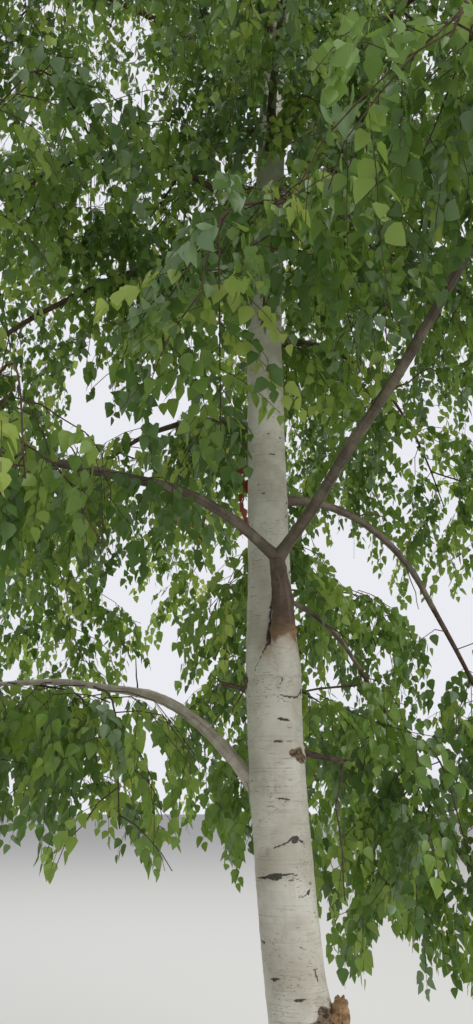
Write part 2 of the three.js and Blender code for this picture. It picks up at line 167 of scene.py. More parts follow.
# %% Lines grown step by step
def grow_lines(start, azimuth, rise, length, seed, steps=5, kink=3.0, bend=1.2, swing=0.0):
    """Lines as an array (lines, steps + 1, 3). Step i has the share s = (i + 1/2) / steps, the rise
    last + (first - last)(1 - s)^bend and the azimuth + swing s. All steps but the first stray by the seed."""
    start, rise = np.atleast_2d(start), np.atleast_2d(rise)
    azimuth, length, seed = np.atleast_1d(azimuth), np.atleast_1d(length), np.atleast_1d(seed)
    order = np.arange(steps)
    share = (order + 0.5) / steps
    kinks = np.where(order > 0, kink, 0.0)
    turn = azimuth[:, None] + np.outer(np.atleast_1d(swing), share) + kinks * stray(1, seed[:, None], order)
    climb = mix(rise[:, 1:], rise[:, :1], (1 - share) ** bend)
    climb = climb + kinks * stray(1, seed[:, None], order + steps)
    moves = heading(turn, climb) * (length[:, None, None] / steps)
    ends = start[:, None] + np.cumsum(moves, axis=1)
    return np.concatenate([np.broadcast_to(start[:, None], (len(ends), 1, 3)), ends], axis=1)


def along_lines(lines, share):
    """The point of each line at a share of its length."""
    last = lines.shape[1] - 1
    at = np.clip(share, 0, 1) * last
    step = np.minimum(at.astype(int), last - 1)
    each = np.arange(len(lines))
    return mix(lines[each, step], lines[each, step + 1], (at - step)[:, None])


def point_along(line, share):
    """The same for one line."""
    return along_lines(line[None], np.array([share]))[0]


# %% The limbs that the front shows, the ring and spiral above them, and the dead stubs
# The foot is a height on the trunk or the limb that bears it, and the stem is the length in its foliage
COLUMNS = ("name", "foot", "azimuth", "swing", "rise", "bend", "length", "radius", "stem")
SHOWN_ROWS = [
    ("fork_limb", 1.925, 301, -60, (58, 70), 1.2, 0.505, (0.050, 0.029), None),
    ("bough_front_left", "fork_limb", 208, -10, (44, 2), 2.8, 1.05, (0.020, 0.013), 1.35),
    ("bough_front_right", "fork_limb", 319, -28, (42, 32), 0.6, 1.2, (0.021, 0.016), 1.3),
    ("bough_right_droop", 2.67, 24, 14, (18, -60), 1, 0.98, (0.018, 0.012), 1.15),
    ("bough_left_low", 1.37, 153, 4, (76, 8), 1.05, 1.0, (0.028, 0.013), 1.25),
    ("bough_right_thin", 2.29, 46, 0, (6, -44), 1.2, 0.62, (0.010, 0.009), 1.0),
    ("bough_upper_left", 3.86, 181, 4, (4, -34), 1, 0.8, (0.019, 0.013), 1.4),
    ("bough_upper_right", 3.83, 22, -8, (34, 0), 1.2, 0.64, (0.018, 0.013), 1.4),
    ("bough_back_low", 2.45, 76, 6, (42, 2), 1.2, 0.62, (0.020, 0.013), 1.35),
    ("bough_back_left", 2.95, 126, 10, (44, 12), 1.2, 0.68, (0.022, 0.014), 1.45),
    ("bough_back_right", 3.35, 60, -8, (46, 14), 1.2, 0.68, (0.021, 0.014), 1.4),
    ("stub_left", 1.915, 180, 0, (18, 14), 1.2, 0.195, (0.011, 0.008), None),
    ("stub_right", 1.748, 352, 0, (-10, -14), 1.2, 0.24, (0.012, 0.008), None),
]


def ring_rows():
    """Six boughs 60 degrees apart, at three heights in turn."""
    return [(f"bough_ring_{i + 1}", 4.38 + 0.095 * ((i * 2) % 6), 268 + 60 * i, -8 if i % 2 else 8,
             (38, 12), 1.2, 0.64, (0.024, 0.014), 1.55) for i in range(6)]


def spiral_row(i, share):
    """One of ten boughs, each 137.5 degrees on, which get steeper, thinner and shorter upwards."""
    return (f"bough_spiral_{i + 1}", mix(5.15, 9.6, share**0.92), (235 + 137.5 * i) % 360, -8 if i % 2 else 8,
            (mix(52, 60, share), mix(24, 46, share)), 1.2, mix(0.82, 0.26, share),
            (mix(0.022, 0.012, share), mix(0.014, 0.010, share)), mix(1.75, 0.85, share))


limbs = {}
for number, row in enumerate([*SHOWN_ROWS, *ring_rows(), *(spiral_row(i, i / 9) for i in range(10))]):
    limb = dict(zip(COLUMNS, row), seed=11 + number)
    limb["source"] = limb["foot"] if limb["foot"] in limbs else None
    start = limbs[limb["source"]]["line"][-1] if limb["source"] else trunk_centre(limb["foot"])
    limb["line"] = grow_lines(start, limb["azimuth"], limb["rise"], limb["length"], limb["seed"],
                              bend=limb["bend"], swing=limb["swing"])[0]
    limbs[limb["name"]] = limb
print("limbs:", len(limbs), "with", round(sum(limb["length"] for limb in limbs.values()), 1), "m of wood")

# %% [markdown]
# ## A stem in each mass of foliage
#
# Every bough carries on into its mass of foliage as a stem that bends down, and the trunk does the same as
# a leader. Three more stems leave the trunk itself above the fork and hang in front of it. To keep the
# masses apart, each point of the crown belongs to the mass whose middle is nearest, which is the space that
# a Voronoi pattern would give it. A twig that would leave its mass's space is turned and tried again.

# %% Stems, and the middle of each mass
STEM_SINK = 0.006  # how far a stem starts inside its bough
MASS_SAG = 0.18  # how far a mass's middle hangs below the middle of its stem
HANGING_RADIUS = 0.016
LOWEST_HANG = 0.78
OWN_LOWEST = {"bough_front_left": 1.5, "bough_left_low": 1.35}
OWN_DROOP = {"bough_left_low": -16}


def grow_stem(name, seed, start, azimuth, rise, length, radius, carrier=None, lowest=LOWEST_HANG):
    """A stem's line, its values, and the middle of the mass that it will bear."""
    line = grow_lines(start, azimuth, rise, length, seed, bend=1)[0]
    middle = (line.min(0) + line.max(0)) / 2 - (0, 0, MASS_SAG)
    return dict(name=name, seed=seed, line=line, azimuth=azimuth, length=length, radius=radius,
                carrier=carrier, lowest=lowest, middle=middle)


stems = []
for limb in limbs.values():
    if limb["stem"]:
        along = unit(limb["line"][-1] - limb["line"][-2])
        start = limb["line"][-1] - STEM_SINK * along
        azimuth = math.degrees(math.atan2(along[1], along[0]))
        rise = (math.degrees(math.asin(along[2])), OWN_DROOP.get(limb["name"], -66))
        stems.append(grow_stem(
            limb["name"].replace("bough", "foliage"), 100 + limb["seed"], start, azimuth, rise, limb["stem"],
            limb["radius"][1], limb["name"], OWN_LOWEST.get(limb["name"], LOWEST_HANG)))
stems.append(grow_stem("foliage_leader", 99, trunk_centre(TRUNK_TIP - STEM_SINK), 40, (87, 48), 0.62,
                       float(trunk_radius(TRUNK_TIP))))
for name, seed, height, azimuth, rise, length, lowest in (
        ("front", 96, 3.40, 272, (46, -84), 1.35, 2.42),
        ("left", 97, 3.95, 212, (40, -80), 1.45, 2.60),
        ("right", 98, 3.90, 312, (40, -84), 1.40, 2.60)):
    stems.append(grow_stem(f"foliage_hanging_{name}", seed, trunk_centre(height), azimuth, rise, length,
                           HANGING_RADIUS, lowest=lowest))
print("masses of foliage:", len(stems))

# %% [markdown]
# ## Which places are free
#
# A point is free for foliage when it is in its own mass's space, above the lowest hang of that mass, and
# 4 cm clear of the trunk and of every limb. The distance from a point to a limb is its distance to the
# nearest of the limb's straight steps, found for all points and steps in one array.

# %% Room for twigs
SPACE_ROOM = 0.009  # to the border with the next mass
LIMB_ROOM = 0.04  # to the trunk's and a limb's surface
STEM_CLEAR = 0.78  # a stem thins, so this share of its first radius stands for the whole of it


def distance_to_steps(points, starts, ends):
    """From each point to each straight step, as an array (points, steps)."""
    along = ends - starts
    share = ((points[:, None] - starts) * along).sum(2) / (along**2).sum(1)
    return np.linalg.norm(points[:, None] - starts - np.clip(share, 0, 1)[..., None] * along, axis=2)


def steps_of(carriers):
    """The starts, ends and clearances of all steps of some limbs or stems."""
    starts = np.concatenate([one["line"][:-1] for one in carriers])
    ends = np.concatenate([one["line"][1:] for one in carriers])
    return starts, ends, np.concatenate([np.full(len(one["line"]) - 1, one["clear"]) for one in carriers])


def clear_of_limbs(points, steps, room):
    """True where a point is at least the room away from the trunk and from every step's surface."""
    starts, ends, clear = steps
    height = points[:, 2]
    gap = np.linalg.norm((points - trunk_centre(height))[:, :2], axis=1)
    off_trunk = (gap - trunk_radius(np.clip(height, 0, TRUNK_TIP)) >= room) | (height >= TRUNK_TIP)
    return off_trunk & (distance_to_steps(points, starts, ends) > clear + room).all(1)


def in_space(points, stem):
    """True where a point is nearer its own mass's middle than any other, by at least the room."""
    return (((points[:, None] - stem["between"]) * stem["away"]).sum(2) > SPACE_ROOM).all(1)


def has_room(points, stem):
    """True where a point is above the lowest hang, in its mass's space and clear of all wood."""
    above = points[:, 2] >= stem["lowest"]
    return above & in_space(points, stem) & clear_of_limbs(points, stem["steps"], LIMB_ROOM)


for limb in limbs.values():
    limb["clear"] = limb["radius"][0]
for stem in stems:
    stem["clear"] = stem["radius"] * STEM_CLEAR
for stem in stems:
    others = [other for other in stems if other is not stem]
    middles = np.array([other["middle"] for other in others])
    stem["away"] = unit(stem["middle"] - middles)
    stem["between"] = (stem["middle"] + middles) / 2
    stem["steps"] = steps_of([*limbs.values(), *others])
limb_steps = steps_of(list(limbs.values()))
print("straight steps to keep clear of:", len(limb_steps[0]))

# %% [markdown]
# ## Twigs and sprays where the solids have them
#
# Four twigs leave each stem on alternate sides and bend over until they hang. On every twig, and on the
# stem, three sprays hang outwards and down. A spray is a flat diamond about 60 cm long, which the solid
# shows as one blade. Each twig and spray gets up to sixteen tries, and the first that fits is kept, exactly
# as in the solids.

# %% The solids' rule for twigs
TRIES = 16
TWIGS = 4
TWIG_PLACES = (0.08, 0.84)  # where the first and the last twig leave the stem
# At the stem's foot and tip: the angle off it, the rise, and the length as a share of the stem's
TWIG_SPREAD, TWIG_RISE, TWIG_LENGTH = (115, 45), (35, -25), (0.79, 0.54)
TWIG_DROOP = -82


def lines_within(line, shares):
    """The points at the same shares of each of a line's steps."""
    shares = np.array(shares)[:, None]
    return np.concatenate([mix(start, end, shares) for start, end in zip(line[:-1], line[1:])])


def try_twig(stem, index, attempt):
    """One try: the place along the stem is fixed, and the heading, rise and length stray by the seed."""
    share = mix(*TWIG_PLACES, index / (TWIGS - 1))
    seed = (stem["seed"] * TWIGS + index) * TRIES + attempt
    spread = mix(*TWIG_SPREAD, share) * (1 + stray(0.4, seed, 1))
    azimuth = float(stem["azimuth"] + (-spread if index % 2 else spread))
    length = float(stem["length"] * mix(*TWIG_LENGTH, share) * (1 + stray(0.15, seed, 3)))
    start = point_along(stem["line"], share)
    rise = (mix(*TWIG_RISE, share) + stray(25, seed, 2), TWIG_DROOP)
    line = grow_lines(start, azimuth, rise, length, seed, steps=2, kink=6)[0]
    return dict(seed=seed, line=line, azimuth=azimuth, length=length)


print("a first twig of", stems[0]["name"], "is", round(try_twig(stems[0], 0, 0)["length"], 2), "m long")

# %% The solids' rule for sprays
SPRAY_PLACES = (0.3, 0.62, 0.92)  # as shares of the twig
SPRAY_LENGTH, SPRAY_WIDTH, SPRAY_WIDEST = 0.6, 0.74, 0.44  # the last two as shares of the length
# The most that a spray turns off its twig, the rises it lies between, and the most that it rolls
SPRAY_TURN, SPRAY_RISE, SPRAY_ROLL = 145, (-18, -68), 30
MOST_SLANT = 0.75  # how nearly a spray may run along its twig, as the cosine between them
BLADE_ROOM = 0.12
SPRAY_SINK = 0.004  # how far a spray starts inside its twig


def try_spray(twig, place, attempt):
    """One try: from a fixed place on its twig the diamond points outwards and down as the seed says."""
    seed = (twig["seed"] * len(SPRAY_PLACES) + place) * TRIES + attempt
    turn = float(twig["azimuth"] + stray(SPRAY_TURN, seed, 1))
    along = heading(turn, mix(*SPRAY_RISE, chance(seed, 2)))
    across = heading(turn + 90, stray(SPRAY_ROLL, seed, 3))
    across = unit(across - (across @ along) * along)
    root = point_along(twig["line"], SPRAY_PLACES[place]) - SPRAY_SINK * along
    last = unit(twig["line"][-1] - twig["line"][-2])
    return dict(seed=seed, root=root, along=along, across=across, azimuth=turn, slant=abs(along @ last),
                length=float(SPRAY_LENGTH * (1 + stray(0.14, seed, 4))))


def spray_width(share):
    """How far the diamond reaches at a share of its length, as a part of its widest."""
    return np.where(share < SPRAY_WIDEST, share / SPRAY_WIDEST, (1 - share) / (1 - SPRAY_WIDEST))


def spray_points(spray, share, side):
    """root + share length along + side half-width across, for sides from -1 to 1."""
    share, side = np.asarray(share, float), np.asarray(side, float)
    reach = side * spray_width(share) * 0.5 * SPRAY_WIDTH * spray["length"]
    down = np.outer(share * spray["length"], spray["along"])
    return spray["root"] + down + np.outer(reach, spray["across"])


def pierces(line, spray):
    """True where any step of a line passes through a spray's diamond."""
    from_root = line - spray["root"]
    height = from_root @ np.cross(spray["across"], spray["along"])
    with np.errstate(divide="ignore", invalid="ignore"):
        hit = mix(from_root[:-1], from_root[1:], (height[:-1] / (height[:-1] - height[1:]))[:, None])
        share = hit @ spray["along"] / spray["length"]
        side = abs(hit @ spray["across"]) / (0.5 * SPRAY_WIDTH * spray["length"])
        inside = (share > BLADE_ROOM) & (share < 1 + BLADE_ROOM) & (side < spray_width(share) + BLADE_ROOM)
    return bool(((height[:-1] * height[1:] <= 0) & inside).any())


def outline(spray):
    """The diamond's edge without the first bit at its root."""
    return spray_points(spray, [BLADE_ROOM, SPRAY_WIDEST, 1, SPRAY_WIDEST, BLADE_ROOM], [0, 1, 0, -1, 0])


# %% Grow the twigs and sprays of every mass
TWIG_SHARES = (0.25, 0.5, 0.75, 1)
SAMPLE_SHARES = np.repeat([0.25, SPRAY_WIDEST, 0.55, 0.7, 0.85, 1], 5)
SAMPLE_SIDES = np.tile([-1, -0.5, 0, 0.5, 1], 6)


def grow_mass(stem):
    """The first try that fits for each twig and each spray."""
    twigs = []
    for index in range(TWIGS):
        tries = (try_twig(stem, index, attempt) for attempt in range(TRIES))
        fits = (twig for twig in tries if has_room(lines_within(twig["line"], TWIG_SHARES), stem).all())
        twigs += [twig for twig in [next(fits, None)] if twig]
    lines = [stem["line"], *(twig["line"] for twig in twigs)]
    sprays = []
    for twig in [*twigs, stem]:
        for place in range(len(SPRAY_PLACES)):
            for attempt in range(TRIES):
                spray = try_spray(twig, place, attempt)
                if spray["slant"] >= MOST_SLANT or any(pierces(line, spray) for line in lines):
                    continue
                if not has_room(spray_points(spray, SAMPLE_SHARES, SAMPLE_SIDES), stem).all():
                    continue
                if any(pierces(outline(spray), one) or pierces(outline(one), spray) for one in sprays):
                    continue
                sprays.append(spray)
                break
    return twigs, sprays


for stem in stems:
    stem["twigs"], stem["sprays"] = grow_mass(stem)
for part in ("twigs", "sprays"):
    print(part, sum(len(stem[part]) for stem in stems))

# %% [markdown]
# ## How far a mass may reach
#
# The finer growth has to stay within the same reach as the solids that it replaces. A box would be too
# loose, so the farthest point is measured in 80 directions spread evenly over a ball, and a point is within
# reach when it passes none of them. Twigs may close the gap to the next mass, but never pass the reach of
# the crown as a whole.

# %% The reach of each solid, measured in many directions
# Points on a ball: equal steps in height, each turned on by the golden angle
ARROWS = 80
golden_angle = 180 * (3 - math.sqrt(5))
lift = 1 - (np.arange(ARROWS) + 0.5) / (ARROWS / 2)
DIRECTIONS = heading(golden_angle * np.arange(ARROWS), np.degrees(np.arcsin(lift)))
for stem in stems:
    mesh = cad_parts[stem["name"]].data
    corners = np.empty(len(mesh.vertices) * 3, np.float32)
    mesh.vertices.foreach_get("co", corners)
    stem["reach"] = (corners.reshape(-1, 3) @ DIRECTIONS.T).max(0)
crown_reach = np.max([stem["reach"] for stem in stems], axis=0)


def within_reach(points, stem, past_mass, past_crown=0.0):
    """True where a point passes neither its mass's reach nor the crown's by more than these lengths."""
    out = points @ DIRECTIONS.T
    return ((out <= stem["reach"] + past_mass) & (out <= crown_reach + past_crown)).all(1)


print("the crown reaches", round(crown_reach.max(), 2), "m")

# %% [markdown]
# ## Finer growth
#
# A birch twig bears side twigs, and these bear thin whip-like shoots that hang straight down and hold the
# leaves. Both are grown by one rule: children leave their parent on alternate sides at even spacing, and
# are cut short where they would leave the mass's room. A set of lines is kept as one dictionary of arrays,
# which is how Geometry Nodes would keep it too, as points with attributes.

# %% Side growth from a set of lines
SHOOT_ROOM = 0.03  # from a shoot to the nearest wood
SHORTER = 0.35  # how much shorter children are at the parent's tip than at its foot, as a share
# key: which random numbers; rise: its first value at the parent's two ends; past: how far past the reach
BRANCHLET = dict(key=1, spacing=0.088, first=0.06, spread=74, rise=(24, -20), droop=-70, reach=0.38,
                 vary=0.35, least=0.10, steps=4, kink=14, past=0.24)
SHOOT = dict(key=2, spacing=0.082, first=0.12, spread=62, rise=(-4, -46), droop=-85, size=0.34,
             vary=0.45, least=0.05, steps=3, kink=12, past=0.26, leafy_past=0.15)
# In the top of the crown, shoots hang longer over the gap below, and have one bend less
FAR_SHOOT = dict(SHOOT, steps=2, size=0.46, past=0.42, leafy_past=0.38)
# The test at a trunk twig's first sixth is left out, because that is inside the trunk
TRUNK_TWIG = dict(BRANCHLET, key=4, spacing=0.055, first=0.0, spread=90, rise=(10, 30), droop=-76,
                  size=0.62, first_test=2)
BOUGH_TWIG = dict(BRANCHLET, key=3, spacing=0.072, first=0.14, spread=66, rise=(4, -30), droop=-80,
                  size=0.48)


def numbered(count):
    """Each child's parent, and its number among its siblings, for parents with so many children each."""
    owner = np.repeat(np.arange(len(count)), count)
    return owner, np.arange(len(owner)) - np.repeat(np.cumsum(count) - count, count)


def side_growth(parents, rule, stem):
    """Children at even spacing along each parent, on alternate sides, and cut back to free room."""
    count = parents["length"] * (1.0 - rule["first"]) / rule["spacing"]
    count = np.maximum(1, np.round(count)).astype(int)
    owner, order = numbered(count)
    share = mix(rule["first"], 1.0, (order + 0.5) / count[owner])
    seed = parents["seed"][owner] * 61 + order * 3 + rule["key"]
    spread = rule["spread"] * (1 + stray(0.5, seed, 1))
    azimuth = parents["azimuth"][owner] + np.where(order % 2, -spread, spread)
    first_rise = mix(*rule["rise"], share) + stray(22, seed, 2)
    rise = np.stack([first_rise, np.full(len(seed), rule["droop"])], axis=1)
    size = rule["size"] if "size" in rule else rule["reach"] * stem["length"]
    length = size * (1 + stray(rule["vary"], seed, 3)) * (1 - SHORTER * share)
    lines = grow_lines(along_lines(parents["line"][owner], share), azimuth, rise, length, seed,
                       steps=rule["steps"], kink=rule["kink"], bend=1)
    return cut_back(dict(line=lines, azimuth=azimuth, length=length, seed=seed), rule, stem)


def cut_back(grown, rule, stem):
    """Tests points along each line. The line ends at its last free point before the first that isn't free."""
    shares = np.linspace(0, 1, 7)[rule.get("first_test", 1):]
    lines = grown["line"]
    tests = np.stack([along_lines(lines, np.full(len(lines), share)) for share in shares], axis=1)
    flat = tests.reshape(-1, 3)
    free = (flat[:, 2] >= stem["lowest"]) & in_space(flat, stem) & within_reach(flat, stem, rule["past"])
    free[free] = clear_of_limbs(flat[free], stem["limb_steps"], SHOOT_ROOM)
    steps_free = np.cumprod(free.reshape(len(lines), -1), axis=1).sum(1)
    kept = np.append(0, shares)[steps_free]
    grown["length"] = grown["length"] * kept
    good = grown["length"] > rule["least"]
    cut = np.stack([along_lines(lines, kept * share) for share in np.linspace(0, 1, lines.shape[1])], axis=1)
    grown["line"] = cut
    return {key: value[good] for key, value in grown.items()}


def gathered(items, *keys):
    """For each key an array of its values in all items."""
    return {key: np.array([one[key] for one in items]) for key in keys}


def joined(*sets):
    """Several sets of lines as one."""
    return {key: np.concatenate([one[key] for one in sets]) for key in sets[0]}


# %% A spine through each spray, with side shoots that fill its diamond
SPINE_STEPS = 4
SPINE_REACH = 0.9  # the share of the diamond's length that the spine runs
SPINE_SAG = 0.03
RIBS = 9
RIB_SPAN = 0.8  # the share of the diamond's length that bears ribs
RIB_AHEAD = 0.18  # how much farther down a rib ends than it starts
RIB_SAG = 0.32


def spray_spines(sprays):
    """A spine runs from the spray's root to near its tip and sags a little in between."""
    shares = np.linspace(0, SPINE_REACH, SPINE_STEPS + 1)
    sag = SPINE_SAG * np.sin(math.pi * shares / SPINE_REACH)
    lines = np.array([one["root"] + np.outer(shares * one["length"], one["along"]) for one in sprays])
    lines[:, :, 2] -= sag
    length = np.array([SPINE_REACH * one["length"] for one in sprays])
    return dict(gathered(sprays, "azimuth", "seed"), line=lines, length=length)


def spray_ribs(sprays, rule, stem):
    """Side shoots of a spray: rib k leaves the spine at an even share, runs out and forwards to the diamond's
    edge and bends down. Ribs alternate from side to side."""
    owner, order = numbered(np.full(len(sprays), RIBS))
    own = gathered(sprays, "along", "across", "length", "seed")
    along, across, size, seed = (values[owner] for values in own.values())
    seed = seed * 67 + order
    share = (order + 0.6) / RIBS * RIB_SPAN
    side = np.where(order % 2, -1.0, 1.0)
    reach = spray_width(np.minimum(share + RIB_AHEAD, 0.95)) * 0.5 * SPRAY_WIDTH * size
    out = unit(across * side[:, None] + along * (0.55 + stray(0.3, seed, 1))[:, None])
    length = reach * 1.12 * (1 + stray(0.12, seed, 2))
    start = along_lines(spray_spines(sprays)["line"][owner], share / SPINE_REACH)
    shares = np.linspace(0, 1, rule["steps"] + 1)
    lines = start[:, None] + out[:, None] * (length[:, None] * shares)[..., None]
    lines[:, :, 2] -= RIB_SAG * length[:, None] * shares**2
    lines += np.cross(out, along)[:, None] * (stray(0.25, seed, 3) * length)[:, None, None] * shares[:, None]
    azimuth = np.degrees(np.arctan2(out[:, 1], out[:, 0]))
    return cut_back(dict(line=lines, azimuth=azimuth, length=length, seed=seed), rule, stem)


# %% Grow every mass down to its shoots
def as_set(carriers, steps):
    """The lines of some limbs or twigs, divided into even steps, as one set."""
    shares = np.linspace(0, 1, steps + 1)
    lines = [[point_along(one["line"], share) for share in shares] for one in carriers]
    return dict(gathered(carriers, "azimuth", "length", "seed"), line=np.array(lines))


def bearer_like(stem, **own):
    """A limb that bears leafy twigs of its own. They keep to the crown's reach, but to no mass's space."""
    return dict(stem, reach=crown_reach, away=np.empty((0, 3)), between=np.empty((0, 3)), **own)


def on_bough(stem):
    """The bough that carries a mass, as such a bearer."""
    bough = limbs[stem["carrier"]]
    others = [limb for limb in limbs.values() if limb["name"] not in (bough["name"], bough["source"])]
    return bearer_like(stem, line=bough["line"], azimuth=bough["azimuth"], length=bough["length"],
                       seed=300 + bough["seed"], limb_steps=steps_of(others))


# The front shows these boughs without twigs
BARE_BOUGHS = ("bough_front_right", "bough_right_droop", "bough_left_low", "bough_right_thin")
for stem in stems:
    stem["shoot_rule"] = FAR_SHOOT if "spiral" in stem["name"] or "leader" in stem["name"] else SHOOT
bearers = [on_bough(stem) for stem in stems if stem["carrier"] and stem["carrier"] not in BARE_BOUGHS]
leader = next(stem for stem in stems if stem["name"] == "foliage_leader")
for seed, low, high, azimuth in ((391, 4.0, 7.2, 250), (392, 7.0, 10.4, 40)):
    bearers.append(bearer_like(leader, line=trunk_centre(np.linspace(low, high, 6)), azimuth=azimuth,
                               length=high - low, seed=seed, carrier=None, limb_steps=limb_steps))
for stem in stems:
    stem["limb_steps"] = limb_steps
    stem["spines"] = spray_spines(stem["sprays"])
    stem["branchlets"] = side_growth(as_set([stem, *stem["twigs"]], 10), BRANCHLET, stem)
    stem["shoots"] = joined(side_growth(joined(stem["branchlets"], stem["spines"]), stem["shoot_rule"], stem),
                            spray_ribs(stem["sprays"], stem["shoot_rule"], stem))
for bearer in bearers:
    bough = as_set([bearer], 5)
    rule = dict(BOUGH_TWIG, first=0.5) if bearer["name"] == "foliage_front_left" else BOUGH_TWIG
    rule = rule if bearer["carrier"] else TRUNK_TWIG
    bearer["branchlets"] = side_growth(bough, rule, bearer)
    bearer["spines"] = {key: value[:0] for key, value in bearer["branchlets"].items()}
    along_bough = dict(bearer["shoot_rule"], first=rule["first"], spacing=0.025)
    bearer["shoots"] = joined(side_growth(bearer["branchlets"], bearer["shoot_rule"], bearer),
                              side_growth(bough, along_bough, bearer))
growing = [*stems, *bearers]
for kind in ("branchlets", "spines", "shoots"):
    everywhere, on_boughs = (sum(len(one[kind]["seed"]) for one in some) for some in (growing, bearers))
    print(kind, everywhere, "of which on boughs and trunk", on_boughs)

# %% [markdown]
# ## Leaves
#
# A silver birch leaf is a rounded diamond with a long tip, 4 to 7 cm long with its stalk, folded slightly
# along its midrib. It hangs by a thin stalk and turns in any breeze, so the leaves of one shoot face all
# ways with their tips down. A leaf could be a picture on a card, but then its outline would be false from
# close by. Here it is a small mesh: one triangle for the stalk, and a fan for the blade, of six near the
# camera, four farther off and two in the top of the crown.

# %% The outline of one leaf
# Each row is a corner: along the leaf from its base to its tip, across it, and above it, all as shares of its
# length. The sides stand above the midrib, and the tip bends down.
def leaf_shape(right_side):
    """The base, the right side, the tip, the left side mirrored, and a fan of faces from the base."""
    left_side = [(along, -across, above) for along, across, above in reversed(right_side)]
    corners = np.array([(0.0, 0.0, 0.0), *right_side, (1.0, 0.0, -0.08), *left_side])
    last = len(corners)
    fan = [(0, i, i + 1) for i in range(1, last - 1)]
    return corners, np.array([*fan, (last, last + 1, 0)])


NEAR_LEAF = leaf_shape([(0.03, 0.25, 0.05), (0.24, 0.41, 0.05), (0.60, 0.26, 0.01)])
FAR_LEAF = leaf_shape([(0.15, 0.38, 0.05), (0.58, 0.27, 0.01)])
TOP_LEAF = leaf_shape([(0.27, 0.40, 0.05)])
LEAF_LENGTH = 0.050
LEAF_SPACING = 0.020
STALK = 0.017
STALK_WIDTH = 0.0016
LEAF_ROOM = 0.016  # from a leaf's middle to the nearest wood
# How much a stalk points along the shoot and off to its side: the last leaf's, and the other leaves'
FORWARDS, SIDEWAYS = (1.5, 0.5), (0.2, 0.8)
shapes = (NEAR_LEAF, FAR_LEAF, TOP_LEAF)
print("triangles of a near, a far and a top leaf:", *(len(shape[1]) for shape in shapes))


# %% Place the leaves along the shoots
def leaf_frames(shoots):
    """For each leaf: its stalk's foot, its blade's base, and arrows along, across and above the blade."""
    count = np.maximum(2, np.round(shoots["length"] / LEAF_SPACING)).astype(int)
    owner, order = numbered(count)
    share = (order + 0.7) / (count[owner] - 0.3)
    seed = shoots["seed"][owner] * 131 + order * 7
    foot = along_lines(shoots["line"][owner], share)
    before, after = (along_lines(shoots["line"][owner], share + step) for step in (-0.05, 0.05))
    ahead = unit(after - before)
    side = heading(shoots["azimuth"][owner] + 90 + stray(70, seed, 1), np.zeros(len(seed)))
    side *= np.where(order % 2, -1, 1)[:, None]
    drop = np.zeros_like(side)
    drop[:, 2] = -1
    loose = np.stack([stray(1, seed, 2), stray(1, seed, 3), stray(1, seed, 4)], axis=1)
    last = (order == count[owner] - 1)[:, None]
    forwards, sideways = np.where(last, *FORWARDS), np.where(last, *SIDEWAYS)
    stalk = unit(forwards * ahead + sideways * side + 0.3 * drop + 0.3 * loose)
    along = unit(0.45 * stalk + 0.8 * drop + 0.42 * loose)
    facing = heading(360 * chance(seed, 5), 25 + stray(35, seed, 6))
    across = unit(np.cross(along, facing))
    size = LEAF_LENGTH * (1 + stray(0.22, seed, 7)) * (1 - 0.25 * (share > 0.9))
    base = foot + stalk * (STALK * size / LEAF_LENGTH)[:, None]
    return dict(foot=foot, base=base, along=along, across=across, above=np.cross(across, along),
                size=size, owner=owner)


def leaf_mesh(leaves, shape):
    """All corners as base + size (along a + across b + above c), and two more at the foot of the stalk."""
    corners, faces = shape
    arrows = [leaves[key][:, None] for key in ("along", "across", "above")]
    blade = sum(arrow * corners[:, i, None] for i, arrow in enumerate(arrows))
    blade = leaves["base"][:, None] + blade * leaves["size"][:, None, None]
    half = leaves["across"][:, None] * (0.5 * STALK_WIDTH * np.array([-1, 1])[:, None])
    points = np.concatenate([blade, leaves["foot"][:, None] + half], axis=1)
    shift = np.arange(len(points))[:, None, None] * points.shape[1]
    return points.reshape(-1, 3), (shift + faces).reshape(-1, 3)


for one in growing:
    leaves = leaf_frames(one["shoots"])
    middle = leaves["base"] + 0.5 * leaves["size"][:, None] * leaves["along"]
    clear = clear_of_limbs(middle, limb_steps, LEAF_ROOM)
    clear &= within_reach(middle, one, one["shoot_rule"]["leafy_past"], past_crown=0.02)
    one["leaves"] = {key: value[clear] for key, value in leaves.items()}
print("leaves:", sum(len(one["leaves"]["size"]) for one in growing))

# %% [markdown]
# ## Putting arrays into Blender
#
# Adding vertices one by one would take minutes for a million triangles. Blender meshes can be filled from
# flat arrays with foreach_set, which takes seconds. Every piece goes through one function, which also
# stores the values that its bark pattern reads.

# %% Meshes from arrays, and tubes along lines
def new_object(name, data):
    """An object with its data, linked to the scene."""
    made = bpy.data.objects.new(name, data)
    bpy.context.scene.collection.objects.link(made)
    return made


